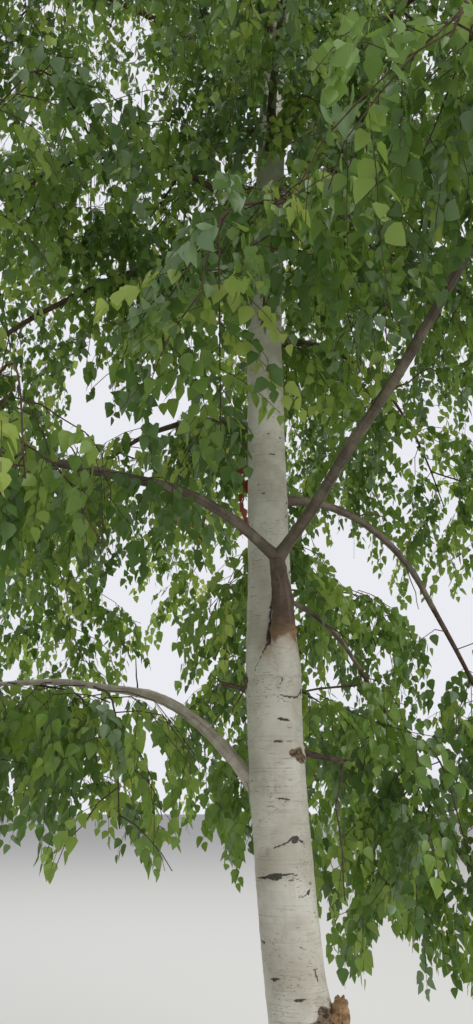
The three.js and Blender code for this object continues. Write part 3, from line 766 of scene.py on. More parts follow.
def new_piece(name, points, faces, slot, attributes=None, face_slots=None):
    """A mesh object at the origin with smooth faces, point attributes and any face slot numbers, riding on
    the root. The slot argument is not used.
    """
    mesh = bpy.data.meshes.new(name)
    faces = np.ascontiguousarray(faces, np.int32)
    mesh.vertices.add(len(points))
    mesh.vertices.foreach_set("co", np.ascontiguousarray(points, np.float32).ravel())
    mesh.loops.add(faces.size)
    mesh.loops.foreach_set("vertex_index", faces.ravel())
    mesh.polygons.add(len(faces))
    mesh.polygons.foreach_set("loop_start", np.arange(0, faces.size, faces.shape[1], dtype=np.int32))
    mesh.polygons.foreach_set("use_smooth", np.ones(len(faces), bool))
    if face_slots is not None:
        mesh.polygons.foreach_set("material_index", np.ascontiguousarray(face_slots, np.int32))
    for key, values in (attributes or {}).items():
        kind, field = ("FLOAT", "value") if np.ndim(values) == 1 else ("FLOAT_VECTOR", "vector")
        layer = mesh.attributes.new(key, kind, "POINT")
        layer.data.foreach_set(field, np.ascontiguousarray(values, np.float32).ravel())
    mesh.update(calc_edges=True)
    piece = new_object(name, mesh)
    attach(piece, "root")
    print(name, len(faces), "faces")
    return piece


def tube_frames(lines):
    """Arrows along each line and two across it. The first one across is square to whichever of X and Y the
    line keeps farther away from, so a tube never twists."""
    along = np.empty_like(lines)
    along[:, 1:-1] = lines[:, 2:] - lines[:, :-2]
    along[:, 0], along[:, -1] = lines[:, 1] - lines[:, 0], lines[:, -1] - lines[:, -2]
    along = unit(along)
    near_x, near_y = abs(along[:, :, 0]).max(1), abs(along[:, :, 1]).max(1)
    guide = np.where((near_x < near_y)[:, None], (1.0, 0, 0), (0, 1.0, 0))
    side = unit(np.cross(np.broadcast_to(guide[:, None], lines.shape), along))
    return along, side, np.cross(along, side)


def ring_walls(rings, sides):
    """Two triangles between each pair of neighbours in two rings: low, high, high + sides and so on."""
    ring, place = np.meshgrid(np.arange(rings - 1) * sides, np.arange(sides), indexing="ij")
    low, high = ring + place, ring + (place + 1) % sides
    return np.stack([low, high, high + sides, low, high + sides, low + sides], axis=-1).reshape(-1, 3)


def closed_rings(rings, sides):
    """The walls, and a fan of triangles over the first and over the last ring."""
    fan = np.array([[0, i + 1, i] for i in range(1, sides - 1)])
    return np.concatenate([ring_walls(rings, sides), fan, fan[:, ::-1] + (rings - 1) * sides])


def tubes(lines, radii, sides):
    """Closed tubes: ring i is line point i + radius (side cos t + other sin t). Both ends are fanned shut."""
    count, rings = lines.shape[:2]
    _, side, other = tube_frames(lines)
    turn = full_turn(sides)
    radii = np.broadcast_to(radii[..., None] if np.ndim(radii) == 2 else radii, (count, rings, sides))
    points = lines[:, :, None] + radii[..., None] * (
        side[:, :, None] * np.cos(turn)[:, None] + other[:, :, None] * np.sin(turn)[:, None])
    faces = closed_rings(rings, sides) + (np.arange(count) * rings * sides)[:, None, None]
    return points.reshape(-1, 3), faces.reshape(-1, 3)


def stacked(parts):
    """Several (points, faces) as one."""
    shift = np.cumsum([0] + [len(points) for points, _ in parts[:-1]])
    return np.concatenate([points for points, _ in parts]), np.concatenate(
        [faces + start for start, (_, faces) in zip(shift, parts)])


# %% [markdown]
# ## Lumps and wrinkles
#
# Bark is never a clean cylinder. The relief uses value noise: the seeded rule gives a height to every
# corner of a grid, and between corners the heights are blended smoothly. Where the grid runs round a trunk
# it wraps, so that no seam shows.

# %% Value noise
def lumps(x, y, seed, wrap):
    """Heights from -1 to 1 at grid corners, blended with 3 t^2 - 2 t^3 both ways. x repeats after `wrap`."""
    column, row = np.floor(x).astype(int), np.floor(y).astype(int)
    across, up = x - column, y - row
    across, up = across * across * (3 - 2 * across), up * up * (3 - 2 * up)

    def corner(i, j):
        """The seeded height at a corner of each point's own cell."""
        return stray(1, (seed * 7001 + (column + i) % wrap), (row + j) % 65536)

    return mix(mix(corner(0, 0), corner(1, 0), across), mix(corner(0, 1), corner(1, 1), across), up)


def lumps_round(turn, cells, y, seed):
    """Lumps with a whole number of cells in a full turn."""
    return lumps(turn * cells / (2 * math.pi), y, seed, cells)


print("four lumps along a row:", np.round(lumps(np.arange(4) + 0.5, np.zeros(4), 22, 8), 2))

# %% [markdown]
# ## Marks in the white bark
#
# The bark keeps a record of the tree's life. Low branches that died left dark eyes, each with a drooping
# brow above it, and splits and rubbed places left black streaks. The larger ones on the front are listed
# here as short lines on the trunk's surface, by height and azimuth, with a half width. Smaller ones are
# strewn by chance.

# %% Named marks, and the eyes and dashes strewn between them
# (half width, depth of colour, [(height, azimuth), ...])
BARK_MARKS = {
    "long_scar_top": (0.0050, 0.95, [(1.334, 200), (1.338, 219), (1.348, 238), (1.351, 260), (1.350, 293)]),
    "long_scar_core": (0.0100, 1.0, [(1.337, 214), (1.341, 237), (1.341, 262)]),
    "long_scar_low": (0.0026, 0.7, [(1.334, 258), (1.334, 294), (1.343, 299)]),
    "long_scar_fold": (0.0045, 0.5, [(1.342, 258), (1.341, 290)]),
    "brow_left": (0.0034, 0.8, [(1.426, 244), (1.440, 270), (1.448, 280)]),
    "brow": (0.0055, 1.0, [(1.446, 278), (1.459, 289), (1.462, 297), (1.453, 305), (1.438, 318)]),
    "brow_eye": (0.0095, 1.0, [(1.452, 284), (1.449, 300)]),
    "brow_line": (0.0022, 0.4, [(1.40, 288), (1.377, 294), (1.355, 294)]),
    "dash_high": (0.0062, 0.95, [(1.836, 271), (1.833, 299)]),
    "dash_high_left": (0.004, 0.5, [(1.848, 262), (1.842, 272)]),
    "dash_middle": (0.0045, 0.9, [(1.762, 262), (1.761, 281)]),
    "line_middle": (0.0016, 0.45, [(1.721, 211), (1.719, 290)]),
    "spots_middle": (0.0042, 0.55, [(1.686, 266), (1.688, 288)]),
    "tick": (0.0045, 0.8, [(1.637, 192), (1.636, 204)]),
    "tick_line": (0.0016, 0.4, [(1.639, 206), (1.640, 251)]),
    "dash_low": (0.0046, 0.95, [(1.577, 263), (1.576, 289)]),
    "dash_low_line": (0.0014, 0.4, [(1.579, 222), (1.578, 263)]),
    "level_line": (0.0016, 0.45, [(1.521, 219), (1.521, 287)]),
    "claw": (0.0050, 0.9, [(1.916, 280), (1.911, 300), (1.914, 322), (1.944, 346)]),
    "claw_point": (0.0115, 1.0, [(1.925, 338), (1.944, 350)]),
    "left_dash": (0.003, 0.8, [(2.281, 212), (2.280, 236)]),
    "crack": (0.0036, 0.85, [(2.055, 289), (2.003, 285), (1.964, 283), (1.937, 276)]),
    "crack_across": (0.0026, 0.65, [(2.03, 265), (2.02, 300)]),
    "limb_crack_left": (0.0058, 1.0, [(2.262, 272), (2.19, 266), (2.102, 263), (2.056, 247)]),
    "limb_crack_foot": (0.0034, 0.8, [(2.060, 248), (2.026, 235), (2.00, 226)]),
    "limb_crack_right": (0.0050, 1.0, [(2.26, 338), (2.16, 341), (2.07, 345)]),
    "peel_upright": (0.0026, 0.6, [(1.511, 223), (1.488, 209), (1.464, 199)]),
    "peel_across": (0.0024, 0.6, [(1.510, 206), (1.512, 226)]),
    "peel_right": (0.0026, 0.4, [(1.535, 311), (1.489, 310)]),
    "hook": (0.0062, 0.95, [(1.306, 323), (1.288, 312)]),
    "hook_tail": (0.0032, 0.8, [(1.288, 312), (1.285, 293), (1.280, 285)]),
    "stretch_line": (0.0020, 0.5, [(1.246, 240), (1.249, 283)]),
    "edge_line": (0.0058, 0.95, [(1.150, 192), (1.151, 210)]),
    "edge_line_fine": (0.0016, 0.5, [(1.151, 212), (1.167, 278)]),
    "spots": (0.0045, 0.7, [(1.141, 282), (1.139, 290)]),
    "spots_low": (0.0045, 0.5, [(1.119, 274), (1.115, 283)]),
    "faint_dash": (0.003, 0.4, [(1.116, 243), (1.123, 258)]),
    "low_brow": (0.0050, 0.9, [(1.049, 218), (1.056, 240)]),
    "low_brow_fine": (0.0018, 0.55, [(1.057, 239), (1.068, 289)]),
    "split": (0.0055, 0.95, [(1.083, 307), (1.062, 313), (1.042, 317)]),
    "split_top": (0.0022, 0.7, [(1.083, 305), (1.077, 321)]),
    "split_line": (0.0020, 0.6, [(1.073, 321), (1.039, 341)]),
    "low_dash": (0.0050, 0.9, [(1.000, 263), (1.002, 285)]),
    "high_dash": (0.0045, 0.9, [(2.93, 258), (2.937, 280)]),
    "high_dash_right": (0.004, 0.8, [(2.85, 276), (2.846, 296)]),
}
# Rough knots of brown bark, by height, azimuth and size: at the two stubs and beside the burr
KNOTS = [(1.714, 322, 0.034), (1.722, 300, 0.016), (1.972, 188, 0.030), (0.945, 318, 0.040),
         (0.89, 322, 0.080), (0.84, 345, 0.10), (0.925, 342, 0.05)]
STREWN = 110
MARK_MARGIN = 0.03  # how far above and below a mark its edge is looked for
MARK_GRAIN = 130  # lumps a metre along a mark's ragged edge


def strewn_marks():
    """Short level dashes anywhere on the trunk, with more of them high up."""
    marks = []
    for i in range(STREWN):
        height = mix(0.35, 9.5, float(chance(501, i)) ** 0.8)
        azimuth, width = 360 * float(chance(502, i)), mix(5, 17, float(chance(503, i)) ** 2)
        half = mix(0.0016, 0.0042, float(chance(504, i)) ** 1.5)
        tilt = float(stray(0.006, 505, i))
        if 0.9 < height < 2.4 and 185 < azimuth < 350:
            continue  # the front already has its own marks here
        ends = [(height, azimuth - width), (height + tilt, azimuth + width)]
        marks.append((half, mix(0.45, 0.95, float(chance(506, i))), ends))
    return marks


def mark_depth(height, azimuth, marks):
    """The darkest mark at each place: 1 on its line and 0 past its half width, which tapers to its ends."""
    depth = np.zeros_like(height)
    for half, strength, places in marks:
        levels = [place[0] for place in places]
        near = np.flatnonzero((height > min(levels) - MARK_MARGIN) & (height < max(levels) + MARK_MARGIN))
        line = np.array([(math.radians(turn) * float(trunk_radius(z)), z) for z, turn in places])
        middle = np.mean([place[1] for place in places])
        turn = (azimuth[near] - middle + 180) % 360 - 180 + middle
        spot = np.stack([np.radians(turn) * trunk_radius(height[near]), height[near]], axis=1)
        steps = len(line) - 1
        for k in range(steps):
            along = line[k + 1] - line[k]
            share = np.clip(((spot - line[k]) @ along) / (along @ along), 0, 1)
            gap = np.linalg.norm(spot - line[k] - share[:, None] * along, axis=1)
            whole = (k + share) / steps
            uneven = 0.9 + 0.45 * lumps(*(spot.T * MARK_GRAIN + 500), 35, 4096)
            width = half * uneven * (0.3 + 0.7 * np.sqrt(np.clip(4 * whole * (1 - whole), 0, 1)))
            depth[near] = np.maximum(depth[near], strength * smooth(1.25 - gap / width, 0.0, 0.8))
    return depth


print("marks:", len(BARK_MARKS), "by name,", len(strewn_marks()), "strewn, and", len(KNOTS), "knots")

# %% [markdown]
# ## The trunk's bark
#
# The trunk is a grid of heights and turns. Its radius is the solid's, plus shallow dents, level ridges
# where the bark has stretched, a groove along each dark mark, rough knots, and deep cracks in the oldest
# bark at the ground. Where a limb leaves, the trunk swells out to meet it. That swelling comes from the
# distance to the limb: it is nothing a few centimetres away and grows as the square of the nearness, which
# makes a round fillet. The same numbers are stored on the vertices, so that the material can darken the
# grooves and brown the collars.

# %% The trunk as a grid
TRUNK_SIDES = 104
# (from height, to height, height of one row)
TRUNK_ROWS = [(0, 0.9, 0.012), (0.9, 2.4, 0.004), (2.4, 3.6, 0.008), (3.6, 5.1, 0.016),
              (5.1, TRUNK_TIP, 0.045)]
trunk_heights = np.concatenate([*(np.arange(low, high - 0.5 * step, step) for low, high, step in TRUNK_ROWS),
                                [TRUNK_TIP]])
turn_grid, height_grid = np.meshgrid(full_turn(TRUNK_SIDES), trunk_heights)
turns = turn_grid / (2 * math.pi)
round_arrows = heading(np.degrees(turn_grid), 0 * turn_grid)
smooth_trunk = trunk_centre(height_grid) + trunk_radius(height_grid)[..., None] * round_arrows
print("the trunk has", len(trunk_heights), "rings of", TRUNK_SIDES, "points")


def around(cells, rows_per_metre, seed):
    """Lumps with a whole number of cells round the trunk."""
    return lumps(turns * cells, height_grid * rows_per_metre, seed, cells)


# %% Marks, knots and old bark
ragged_height = height_grid + 0.0022 * around(60, 160, 22) + 0.0015 * around(26, 60, 21)
ragged_azimuth = np.degrees(turn_grid) + 1.6 * around(30, 110, 20)
all_marks = [*BARK_MARKS.values(), *strewn_marks()]
marks = mark_depth(ragged_height.ravel(), (ragged_azimuth % 360).ravel(), all_marks)
marks = marks.reshape(height_grid.shape)
knots = np.zeros_like(height_grid)
for height, azimuth, size in KNOTS:
    sideways = np.radians((np.degrees(turn_grid) - azimuth + 180) % 360 - 180) * trunk_radius(height_grid)
    far = np.hypot(sideways, height_grid - height) / (size * (1 + 0.3 * around(22, 45, 19)))
    knots = np.maximum(knots, smooth(far, 1.15, 0.55))
old_bark = smooth(0.62 - height_grid + 0.22 * around(9, 7, 23), 0.0, 0.45)
cracks = smooth(abs(around(16, 13, 24) + 0.5 * around(32, 30, 25)), 0.30, 0.02) * old_bark
print("share of the bark's points that is marked:", round(float((marks > 0.5).mean()), 3))

# %% Collars where limbs leave
COLLAR_BELOW, COLLAR_ABOVE = 0.12, 0.5  # how far from a limb's foot its collar is looked for
fillet, collar, crease = np.zeros((3, *height_grid.shape))
fork_gap = np.ones_like(height_grid)
trunk_borne = [(one["name"], one["line"], one["radius"][0]) for one in limbs.values() if not one["source"]]
trunk_borne += [(stem["name"], stem["line"], stem["clear"]) for stem in stems if "hanging" in stem["name"]]
for name, line, radius in trunk_borne:
    rows = slice(*np.searchsorted(trunk_heights, (line[0, 2] - COLLAR_BELOW, line[0, 2] + COLLAR_ABOVE)))
    gap = distance_to_steps(smooth_trunk[rows].reshape(-1, 3), line[:-1], line[1:]).min(1) - radius
    gap = gap.reshape(-1, TRUNK_SIDES)
    near = np.clip(1 - gap / (1.1 * radius + 0.012), 0, 1)
    fillet[rows] = np.maximum(fillet[rows], (0.3 * radius + 0.003) * near**2)
    collar[rows] = np.maximum(collar[rows], near**1.5 * (0.4 if name == "fork_limb" else 1.0))
    if name == "fork_limb":
        fork_gap[rows] = gap
    else:
        crease[rows] = np.maximum(crease[rows], 0.75 * np.exp(-((gap / 0.006) ** 2)))
by_fork = np.exp(-((np.maximum(fork_gap, 0) / 0.012) ** 2))
crease = np.maximum(crease, by_fork * smooth(height_grid + 0.008 * around(20, 60, 18), 2.06, 2.12))
young = by_fork * smooth(height_grid, 2.07, 2.13)
beside_fork = np.exp(-((np.maximum(fork_gap, 0) / 0.022) ** 2))
blush = 0.8 * np.exp(-(((height_grid - 2.09) / 0.05) ** 2)) * beside_fork
print("limbs and stems that leave the trunk:", len(trunk_borne))

# %% Make the trunk's bark
# The trunk bulges above the burr on its right
swelling = np.exp(-(((height_grid - 0.93) / 0.075) ** 2) - (((np.degrees(turn_grid) - 338) / 34) ** 2))
# Dents, level ridges, fine grain, collars, grooves along marks, knots, the swelling, and old bark with cracks
relief = (
    0.0022 * around(6, 4.5, 28) + 0.0010 * around(14, 17, 29)
    + 0.0005 * around(5, 95, 27) * (1 - old_bark) + 0.0003 * around(40, 120, 17)
    + fillet + collar * 0.0016 * around(24, 90, 30) - 0.003 * marks
    + knots * (0.004 + 0.006 * around(44, 100, 31)) + 0.020 * swelling + 0.004 * old_bark - 0.009 * cracks
)
trunk_size = trunk_radius(height_grid) + root_lobe(height_grid, turn_grid) + relief
trunk_points = (trunk_centre(height_grid) + trunk_size[..., None] * round_arrows).reshape(-1, 3)
trunk_faces = closed_rings(len(trunk_heights), TRUNK_SIDES)
trunk_bark = new_piece("trunk_bark", trunk_points, trunk_faces, "bark_white", attributes=dict(
    bark=trunk_points, mark=marks.ravel(), collar=collar.ravel(), crease=np.maximum(crease, cracks).ravel(),
    old=old_bark.ravel(), knot=knots.ravel(), young=young.ravel(), blush=blush.ravel()))
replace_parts(trunk_bark, "trunk")

# %% [markdown]
# ## Loose curls of bark
#
# Thin sheets of birch bark let go along an upright edge and roll back on themselves. At the trunk's outline
# they are what breaks the smooth edge. Each curl is a strip that starts flat on the trunk and rolls off it
# along a circle, and a Solidify modifier gives the sheet its thickness.

# %% Curls of peeling bark
CURLS = 130
CURL_STEPS, CURL_ROWS = 8, 3  # points along the roll, and up the edge
SHEET = 0.0007  # how thick the bark is that peels
curl_order = np.arange(CURLS)
curl_height = mix(0.5, 5.5, chance(601, curl_order) ** 1.1)
curl_azimuth = 360 * chance(602, curl_order)
curl_tall = mix(0.006, 0.022, chance(603, curl_order) ** 2)
curl_roll = mix(0.0022, 0.0060, chance(604, curl_order))
curl_turns = mix(1.2, 4.2, chance(605, curl_order))
curl_side = np.where(chance(606, curl_order) > 0.5, 1.0, -1.0)
along_curl, up_curl = np.meshgrid(np.linspace(0, 1, CURL_STEPS), np.linspace(-0.5, 0.5, CURL_ROWS),
                                  indexing="ij")
roll = curl_turns[:, None, None] * along_curl
size = curl_roll[:, None, None] * (1 - 0.35 * along_curl)
flat_part = curl_side[:, None, None] * (size * np.sin(roll) + 0.004 * along_curl)
lift_off = size * (1 - np.cos(roll)) - 0.0012
level = curl_height[:, None, None] + curl_tall[:, None, None] * up_curl * (1 - 0.5 * along_curl**2)
spin = np.radians(curl_azimuth)[:, None, None] + flat_part / trunk_radius(level)
distance = trunk_radius(level) + root_lobe(level, spin) + lift_off
curl_points = trunk_centre(level) + distance[..., None] * np.stack(
    [np.cos(spin), np.sin(spin), 0 * spin], axis=-1)
grid = np.arange(CURL_STEPS * CURL_ROWS).reshape(CURL_STEPS, CURL_ROWS)
curl_quads = np.stack([grid[:-1, :-1], grid[1:, :-1], grid[1:, 1:], grid[:-1, 1:]], axis=-1).reshape(-1, 4)
curl_faces = curl_quads + (curl_order * grid.size)[:, None, None]
bark_curls = new_piece("bark_curls", curl_points.reshape(-1, 3), curl_faces.reshape(-1, 4), "bark_white")
paper = bark_curls.modifiers.new("thickness", "SOLIDIFY")
paper.thickness = SHEET

# %% [markdown]
# ## The boughs' bark
#
# A limb's line has only five steps, so a smooth curve is passed through the same points. Its radius is the
# solid's: an even taper with a collar at the foot. Knuckles where side twigs once grew, uneven lumps and
# fine wrinkles across it come on top.

# %% A smooth curve through a limb's points
def smooth_line(points, rows):
    """Catmull-Rom: between two points the curve is a cubic whose slope at each is half the step past it."""
    ends = np.concatenate([[2 * points[0] - points[1]], points, [2 * points[-1] - points[-2]]])
    at = np.linspace(0, len(points) - 1, rows)
    step = np.minimum(at.astype(int), len(points) - 2)
    t = (at - step)[:, None]
    a, b, c, d = (ends[step + i] for i in range(4))
    return 0.5 * (2 * b + (c - a) * t + (2 * a - 5 * b + 4 * c - d) * t**2 + (3 * b - a - 3 * c + d) * t**3)


def limb_bark(limb, sides, spacing=0.012, rough=1.0):
    """One limb's points, faces and bark values."""
    rows = max(16, round(limb["length"] / spacing))
    share = np.linspace(0, 1, rows)
    line = smooth_line(limb["line"], rows)
    first = limb["radius"][0]
    hidden = 0 if limb["source"] else float(trunk_radius(limb["foot"]))
    past = np.maximum(0, share * limb["length"] - hidden)
    radius = mix(*limb["radius"], share) + 0.4 * first * np.exp(-past / (1.6 * first))
    turn, down = np.meshgrid(full_turn(sides), share * limb["length"])
    places = limb["length"] * chance(limb["seed"] + 700, np.arange(6))
    knuckles = sum(np.exp(-(((down - place) / 0.011) ** 2)) for place in places)
    wide = radius[:, None] * (
        1 + rough * (0.05 * lumps_round(turn, 4, down * 14, limb["seed"] + 40)
                     + 0.018 * lumps_round(turn, 8, down * 60, limb["seed"] + 41)) + 0.09 * knuckles)
    points, faces = tubes(line[None], wide[None], sides)
    round_place = [radius[:, None] * np.cos(turn), radius[:, None] * np.sin(turn)]
    bark = np.stack([*round_place, down + limb["seed"]], axis=-1)
    foot = np.exp(-((past / (2.2 * first)) ** 2))[:, None] + 0 * turn
    return (points, faces), bark.reshape(-1, 3), foot.ravel()


def limb_piece(name, members, slot, sides, **finish):
    """Several limbs as one piece that stands for their solids."""
    made = [limb_bark(limb, sides, **finish) for limb in members]
    points, faces = stacked([one[0] for one in made])
    bark, foot = (np.concatenate([one[k] for one in made]) for k in (1, 2))
    piece = new_piece(name, points, faces, slot, attributes=dict(bark=bark, foot=foot))
    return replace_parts(piece, *(limb["name"] for limb in members))


# %% Make the forked limb
(fork_points, fork_faces), fork_place, _ = limb_bark(limbs["fork_limb"], 48, spacing=0.004, rough=2.6)
fork_turn = np.arctan2(fork_place[:, 1], fork_place[:, 0]) / (2 * math.pi)
fork_height = fork_points[:, 2] + 0.020 * lumps(fork_turn * 14, fork_points[:, 2] * 30, 37, 14)
to_right = smooth(fork_points[:, 0] - trunk_centre(fork_points[:, 2])[:, 0], 0.03, 0.09)
fork_bark = new_piece("fork_limb_bark", fork_points, fork_faces, "bark_bough", attributes=dict(
    bark=fork_place, young=smooth(fork_height, 2.04, 2.17),
    blush=np.exp(-(((fork_height - 2.120) / 0.050) ** 2)) * (0.45 + 0.55 * to_right)))
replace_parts(fork_bark, "fork_limb")

# %% Make the boughs and stubs
STEM_TIP = 0.003  # a stem's radius at its tip
dark_boughs = [limb for name, limb in limbs.items() if name.startswith("bough") and name != "bough_left_low"]
bough_bark = limb_piece("bough_bark", dark_boughs, "bark_bough", 14)
low_bough = limbs["bough_left_low"]
low_stem = next(stem for stem in stems if stem["carrier"] == "bough_left_low")
low_bough = dict(low_bough, line=np.concatenate([low_bough["line"], low_stem["line"][1:]]),
                 length=low_bough["length"] + low_stem["length"], radius=(low_bough["radius"][0], STEM_TIP))
pale_bough = limb_piece("low_bough_bark", [low_bough], "bark_pale", 24, spacing=0.008, rough=2.2)
stubs = [limbs["stub_left"], limbs["stub_right"]]
dead_stubs = limb_piece("dead_stubs", stubs, "dead_wood", 16, spacing=0.004, rough=2.6)

# %% [markdown]
# ## The burr
#
# Low on the right the trunk carries a burr: a knot of brown, woody growth with the splintered stub of a
# lost branch standing up out of it. A ball is stretched to the solid's size and pushed in and out by two
# sizes of lumps, and the stub is a short tube with a torn rim.

# %% Make the burr and its broken stub
BURR_HEIGHT, BURR_TURN, BURR_SINK = 0.85, 345, 0.010
BURR_RADIUS, BURR_STRETCH = 0.056, 1.55
BURR_SIDES, BURR_RINGS, STUB_SIDES, STUB_RINGS = 64, 49, 28, 40
TORN_RINGS, TEAR = 6, 0.16  # how many rings the tear lowers, and how far at most
burr_middle = trunk_centre(BURR_HEIGHT) + heading(BURR_TURN, 0) * (trunk_radius(BURR_HEIGHT) - BURR_SINK)
spin, climb = np.meshgrid(full_turn(BURR_SIDES), np.linspace(-0.5, 0.5, BURR_RINGS) * math.pi)
bulge = BURR_RADIUS * (1 + 0.13 * lumps_round(spin, 7, climb * 3.2 + 9, 31)
                       + 0.07 * lumps_round(spin, 16, climb * 8 + 9, 32))
burr_points = burr_middle + bulge[..., None] * np.stack(
    [np.cos(climb) * np.cos(spin), np.cos(climb) * np.sin(spin), BURR_STRETCH * np.sin(climb)], axis=-1)
broken_tip = grow_lines(trunk_centre(0.855), 338, (48, 48), 0.215, 3)[0][-1]
sway = 0.006 * np.sin(np.arange(6))[:, None]
stub_line = mix(burr_middle, broken_tip, np.linspace(0, 1, 6)[:, None]) + sway
stub_rows = smooth_line(stub_line, STUB_RINGS)
turn, share = np.meshgrid(full_turn(STUB_SIDES), np.linspace(0, 1, STUB_RINGS))
torn = 0.86 + 0.14 * abs(lumps_round(turn, 7, 3 + 0 * share, 33))
stub_wide = mix(0.040, 0.019, share**1.3) * (1 + 0.22 * lumps_round(turn, 6, share * 7, 34)
                                            + 0.10 * lumps_round(turn, 14, share * 16, 38))
stub_points, stub_faces = tubes(stub_rows[None], stub_wide[None], STUB_SIDES)
stub_points = stub_points.reshape(STUB_RINGS, STUB_SIDES, 3)
tear = (1 - torn[-TORN_RINGS:, :, None]) * np.linspace(0, 1, TORN_RINGS)[:, None, None]
stub_points[-TORN_RINGS:] -= unit(stub_line[-1] - stub_line[-2]) * TEAR * tear
burr = new_piece("burr", *stacked([(burr_points.reshape(-1, 3), ring_walls(BURR_RINGS, BURR_SIDES)),
                                   (stub_points.reshape(-1, 3), stub_faces)]), "dead_wood")
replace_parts(burr, "trunk")

# %% [markdown]
# ## Stems, twigs and shoots as wood
#
# A stem goes on from its bough with the same thickness, so the join can't be seen, and thins to a few
# millimetres. Twigs, side twigs and shoots are tubes of fewer and fewer sides. A real shoot is 1 mm thick,
# which would be lost in the picture, so shoots are drawn a little thicker than life.

# %% Make the stems, twigs and shoots
# Radii at the foot and at the tip, for twigs, for side twigs and spines, and for shoots
TWIG_RADII, FINE_RADII, SHOOT_RADII = (0.0052, 0.0022), (0.0024, 0.0013), (0.0013, 0.0009)


def tapered(lines, first, last):
    """Radii that go evenly from first to last along each line."""
    first, last = (np.broadcast_to(end, len(lines))[:, None] for end in (first, last))
    return mix(first, last, np.linspace(0, 1, lines.shape[1]))


dark_stems = [stem for stem in stems if stem is not low_stem]
stem_lines = np.array([smooth_line(stem["line"], 26) for stem in dark_stems])
twig_lines = np.array([smooth_line(twig["line"], 12) for stem in stems for twig in stem["twigs"]])
fine = joined(*(one[kind] for one in growing for kind in ("branchlets", "spines")))
stem_radii = np.array([stem["radius"] for stem in dark_stems])
twig_wood = new_piece("twigs", *stacked([
    tubes(stem_lines, tapered(stem_lines, stem_radii, STEM_TIP), 8),
    tubes(twig_lines, tapered(twig_lines, *TWIG_RADII), 6),
    tubes(fine["line"], tapered(fine["line"], *FINE_RADII), 4)]), "bark_bough")
shoot_woods = []
for name, rule in (("low_shoots", SHOOT), ("high_shoots", FAR_SHOOT)):
    lines = np.concatenate([one["shoots"]["line"] for one in growing if one["shoot_rule"] is rule])
    shoot_woods.append(new_piece(name, *tubes(lines, tapered(lines, *SHOOT_RADII), 3), "bark_bough"))

# %% [markdown]
# ## Bare twigs
#
# A few dead twigs hang from the stubs and the thin boughs, with no leaves on them.

# %% Make the bare twigs
# (carrier, share along it, azimuth, first and last rise, length, radius)
BARE_TWIGS = [
    ("stub_right", 0.97, 195, (-84, -80), 0.44, 0.0042),
    ("stub_right", 0.97, 340, (20, -10), 0.05, 0.005),
    ("stub_left", 0.55, 200, (-50, -60), 0.12, 0.003),
    ("stub_left", 0.95, 170, (35, 30), 0.07, 0.003),
    ("bough_right_droop", 0.42, 20, (20, 4), 0.17, 0.0045),
    ("bough_right_droop", 0.75, 60, (-30, -80), 0.22, 0.003),
    ("bough_right_thin", 0.45, 20, (-30, -70), 0.30, 0.003),
    ("bough_right_thin", 0.62, 60, (10, -30), 0.24, 0.003),
    ("bough_left_low", 0.88, 120, (50, 70), 0.16, 0.004),
    ("bough_front_left", 0.5, 240, (-40, -75), 0.18, 0.003),
    ("bough_front_right", 0.55, 350, (40, 10), 0.22, 0.004),
    ("bough_front_left", 0.72, 170, (60, 30), 0.2, 0.003),
]
bare_lines = np.concatenate([
    grow_lines(point_along(limbs[name]["line"], share), azimuth, rise, length, 800 + i,
               steps=6, kink=16, bend=1)
    for i, (name, share, azimuth, rise, length, _) in enumerate(BARE_TWIGS)])
bare_radii = np.array([row[-1] for row in BARE_TWIGS])
bare_tubes = tubes(bare_lines, tapered(bare_lines, bare_radii, 0.5 * bare_radii), 6)
bare_twigs = new_piece("bare_twigs", *bare_tubes, "dead_wood")

# %% [markdown]
# ## Leaves in six joined pieces
#
# One object for each leaf would choke Blender, and instances are lost when the tree is exported, so the
# leaves of neighbouring masses are joined. A leaf keeps the colour of its shoot: most are mid or deep
# green, some bright or yellow-green where they are young, some grey-blue, which is a painted sheen that
# stands for the sky's reflection, and a few shoots have turned early.

# %% Deal out the colours and make the leaves
# The grey-blue share of shoots has leaves whose colour is a painted sheen that stands for the sky's
# reflection
LEAF_SHARES = {"mid": 0.33, "deep": 0.62, "bright": 0.80, "painted_sheen": 0.93, "young": 1.0}
TURNED_SPOT = 0.06  # how near a shoot's foot has to be
TURNED_SPOTS = np.array([(-0.60, 1.01, 3.02), (-0.22, 0.21, 3.05)])
LEAF_SHAPES = dict(
    leaves_front=NEAR_LEAF, leaves_hanging=NEAR_LEAF, leaves_middle=TOP_LEAF, leaves_top=TOP_LEAF)
CROWN_PARTS = {
    "leaves_front": ("front_left", "front_right", "left_low", "right_droop", "right_thin"),
    "leaves_hanging": ("hanging_front", "hanging_left", "hanging_right"),
    "leaves_back": ("back_low", "back_left", "back_right", "upper_left", "upper_right"),
    "leaves_ring": tuple(f"ring_{i}" for i in range(1, 7)),
    "leaves_middle": tuple(f"spiral_{i}" for i in range(1, 5)),
    "leaves_top": (*(f"spiral_{i}" for i in range(5, 11)), "leader"),
}


def shoot_colours(shoots):
    """The shoots of one side twig mostly share a colour, and one with its foot by a spot has turned."""
    shared, own = chance(shoots["seed"] // 61, 12), chance(shoots["seed"], 13)
    family = np.where(chance(shoots["seed"], 11) < 0.55, shared, own)
    colour = np.searchsorted(list(LEAF_SHARES.values()), family)
    near = np.linalg.norm(shoots["line"][:, None, 0] - TURNED_SPOTS, axis=2).min(1) < TURNED_SPOT
    return np.where(near, len(LEAF_SHARES), colour)


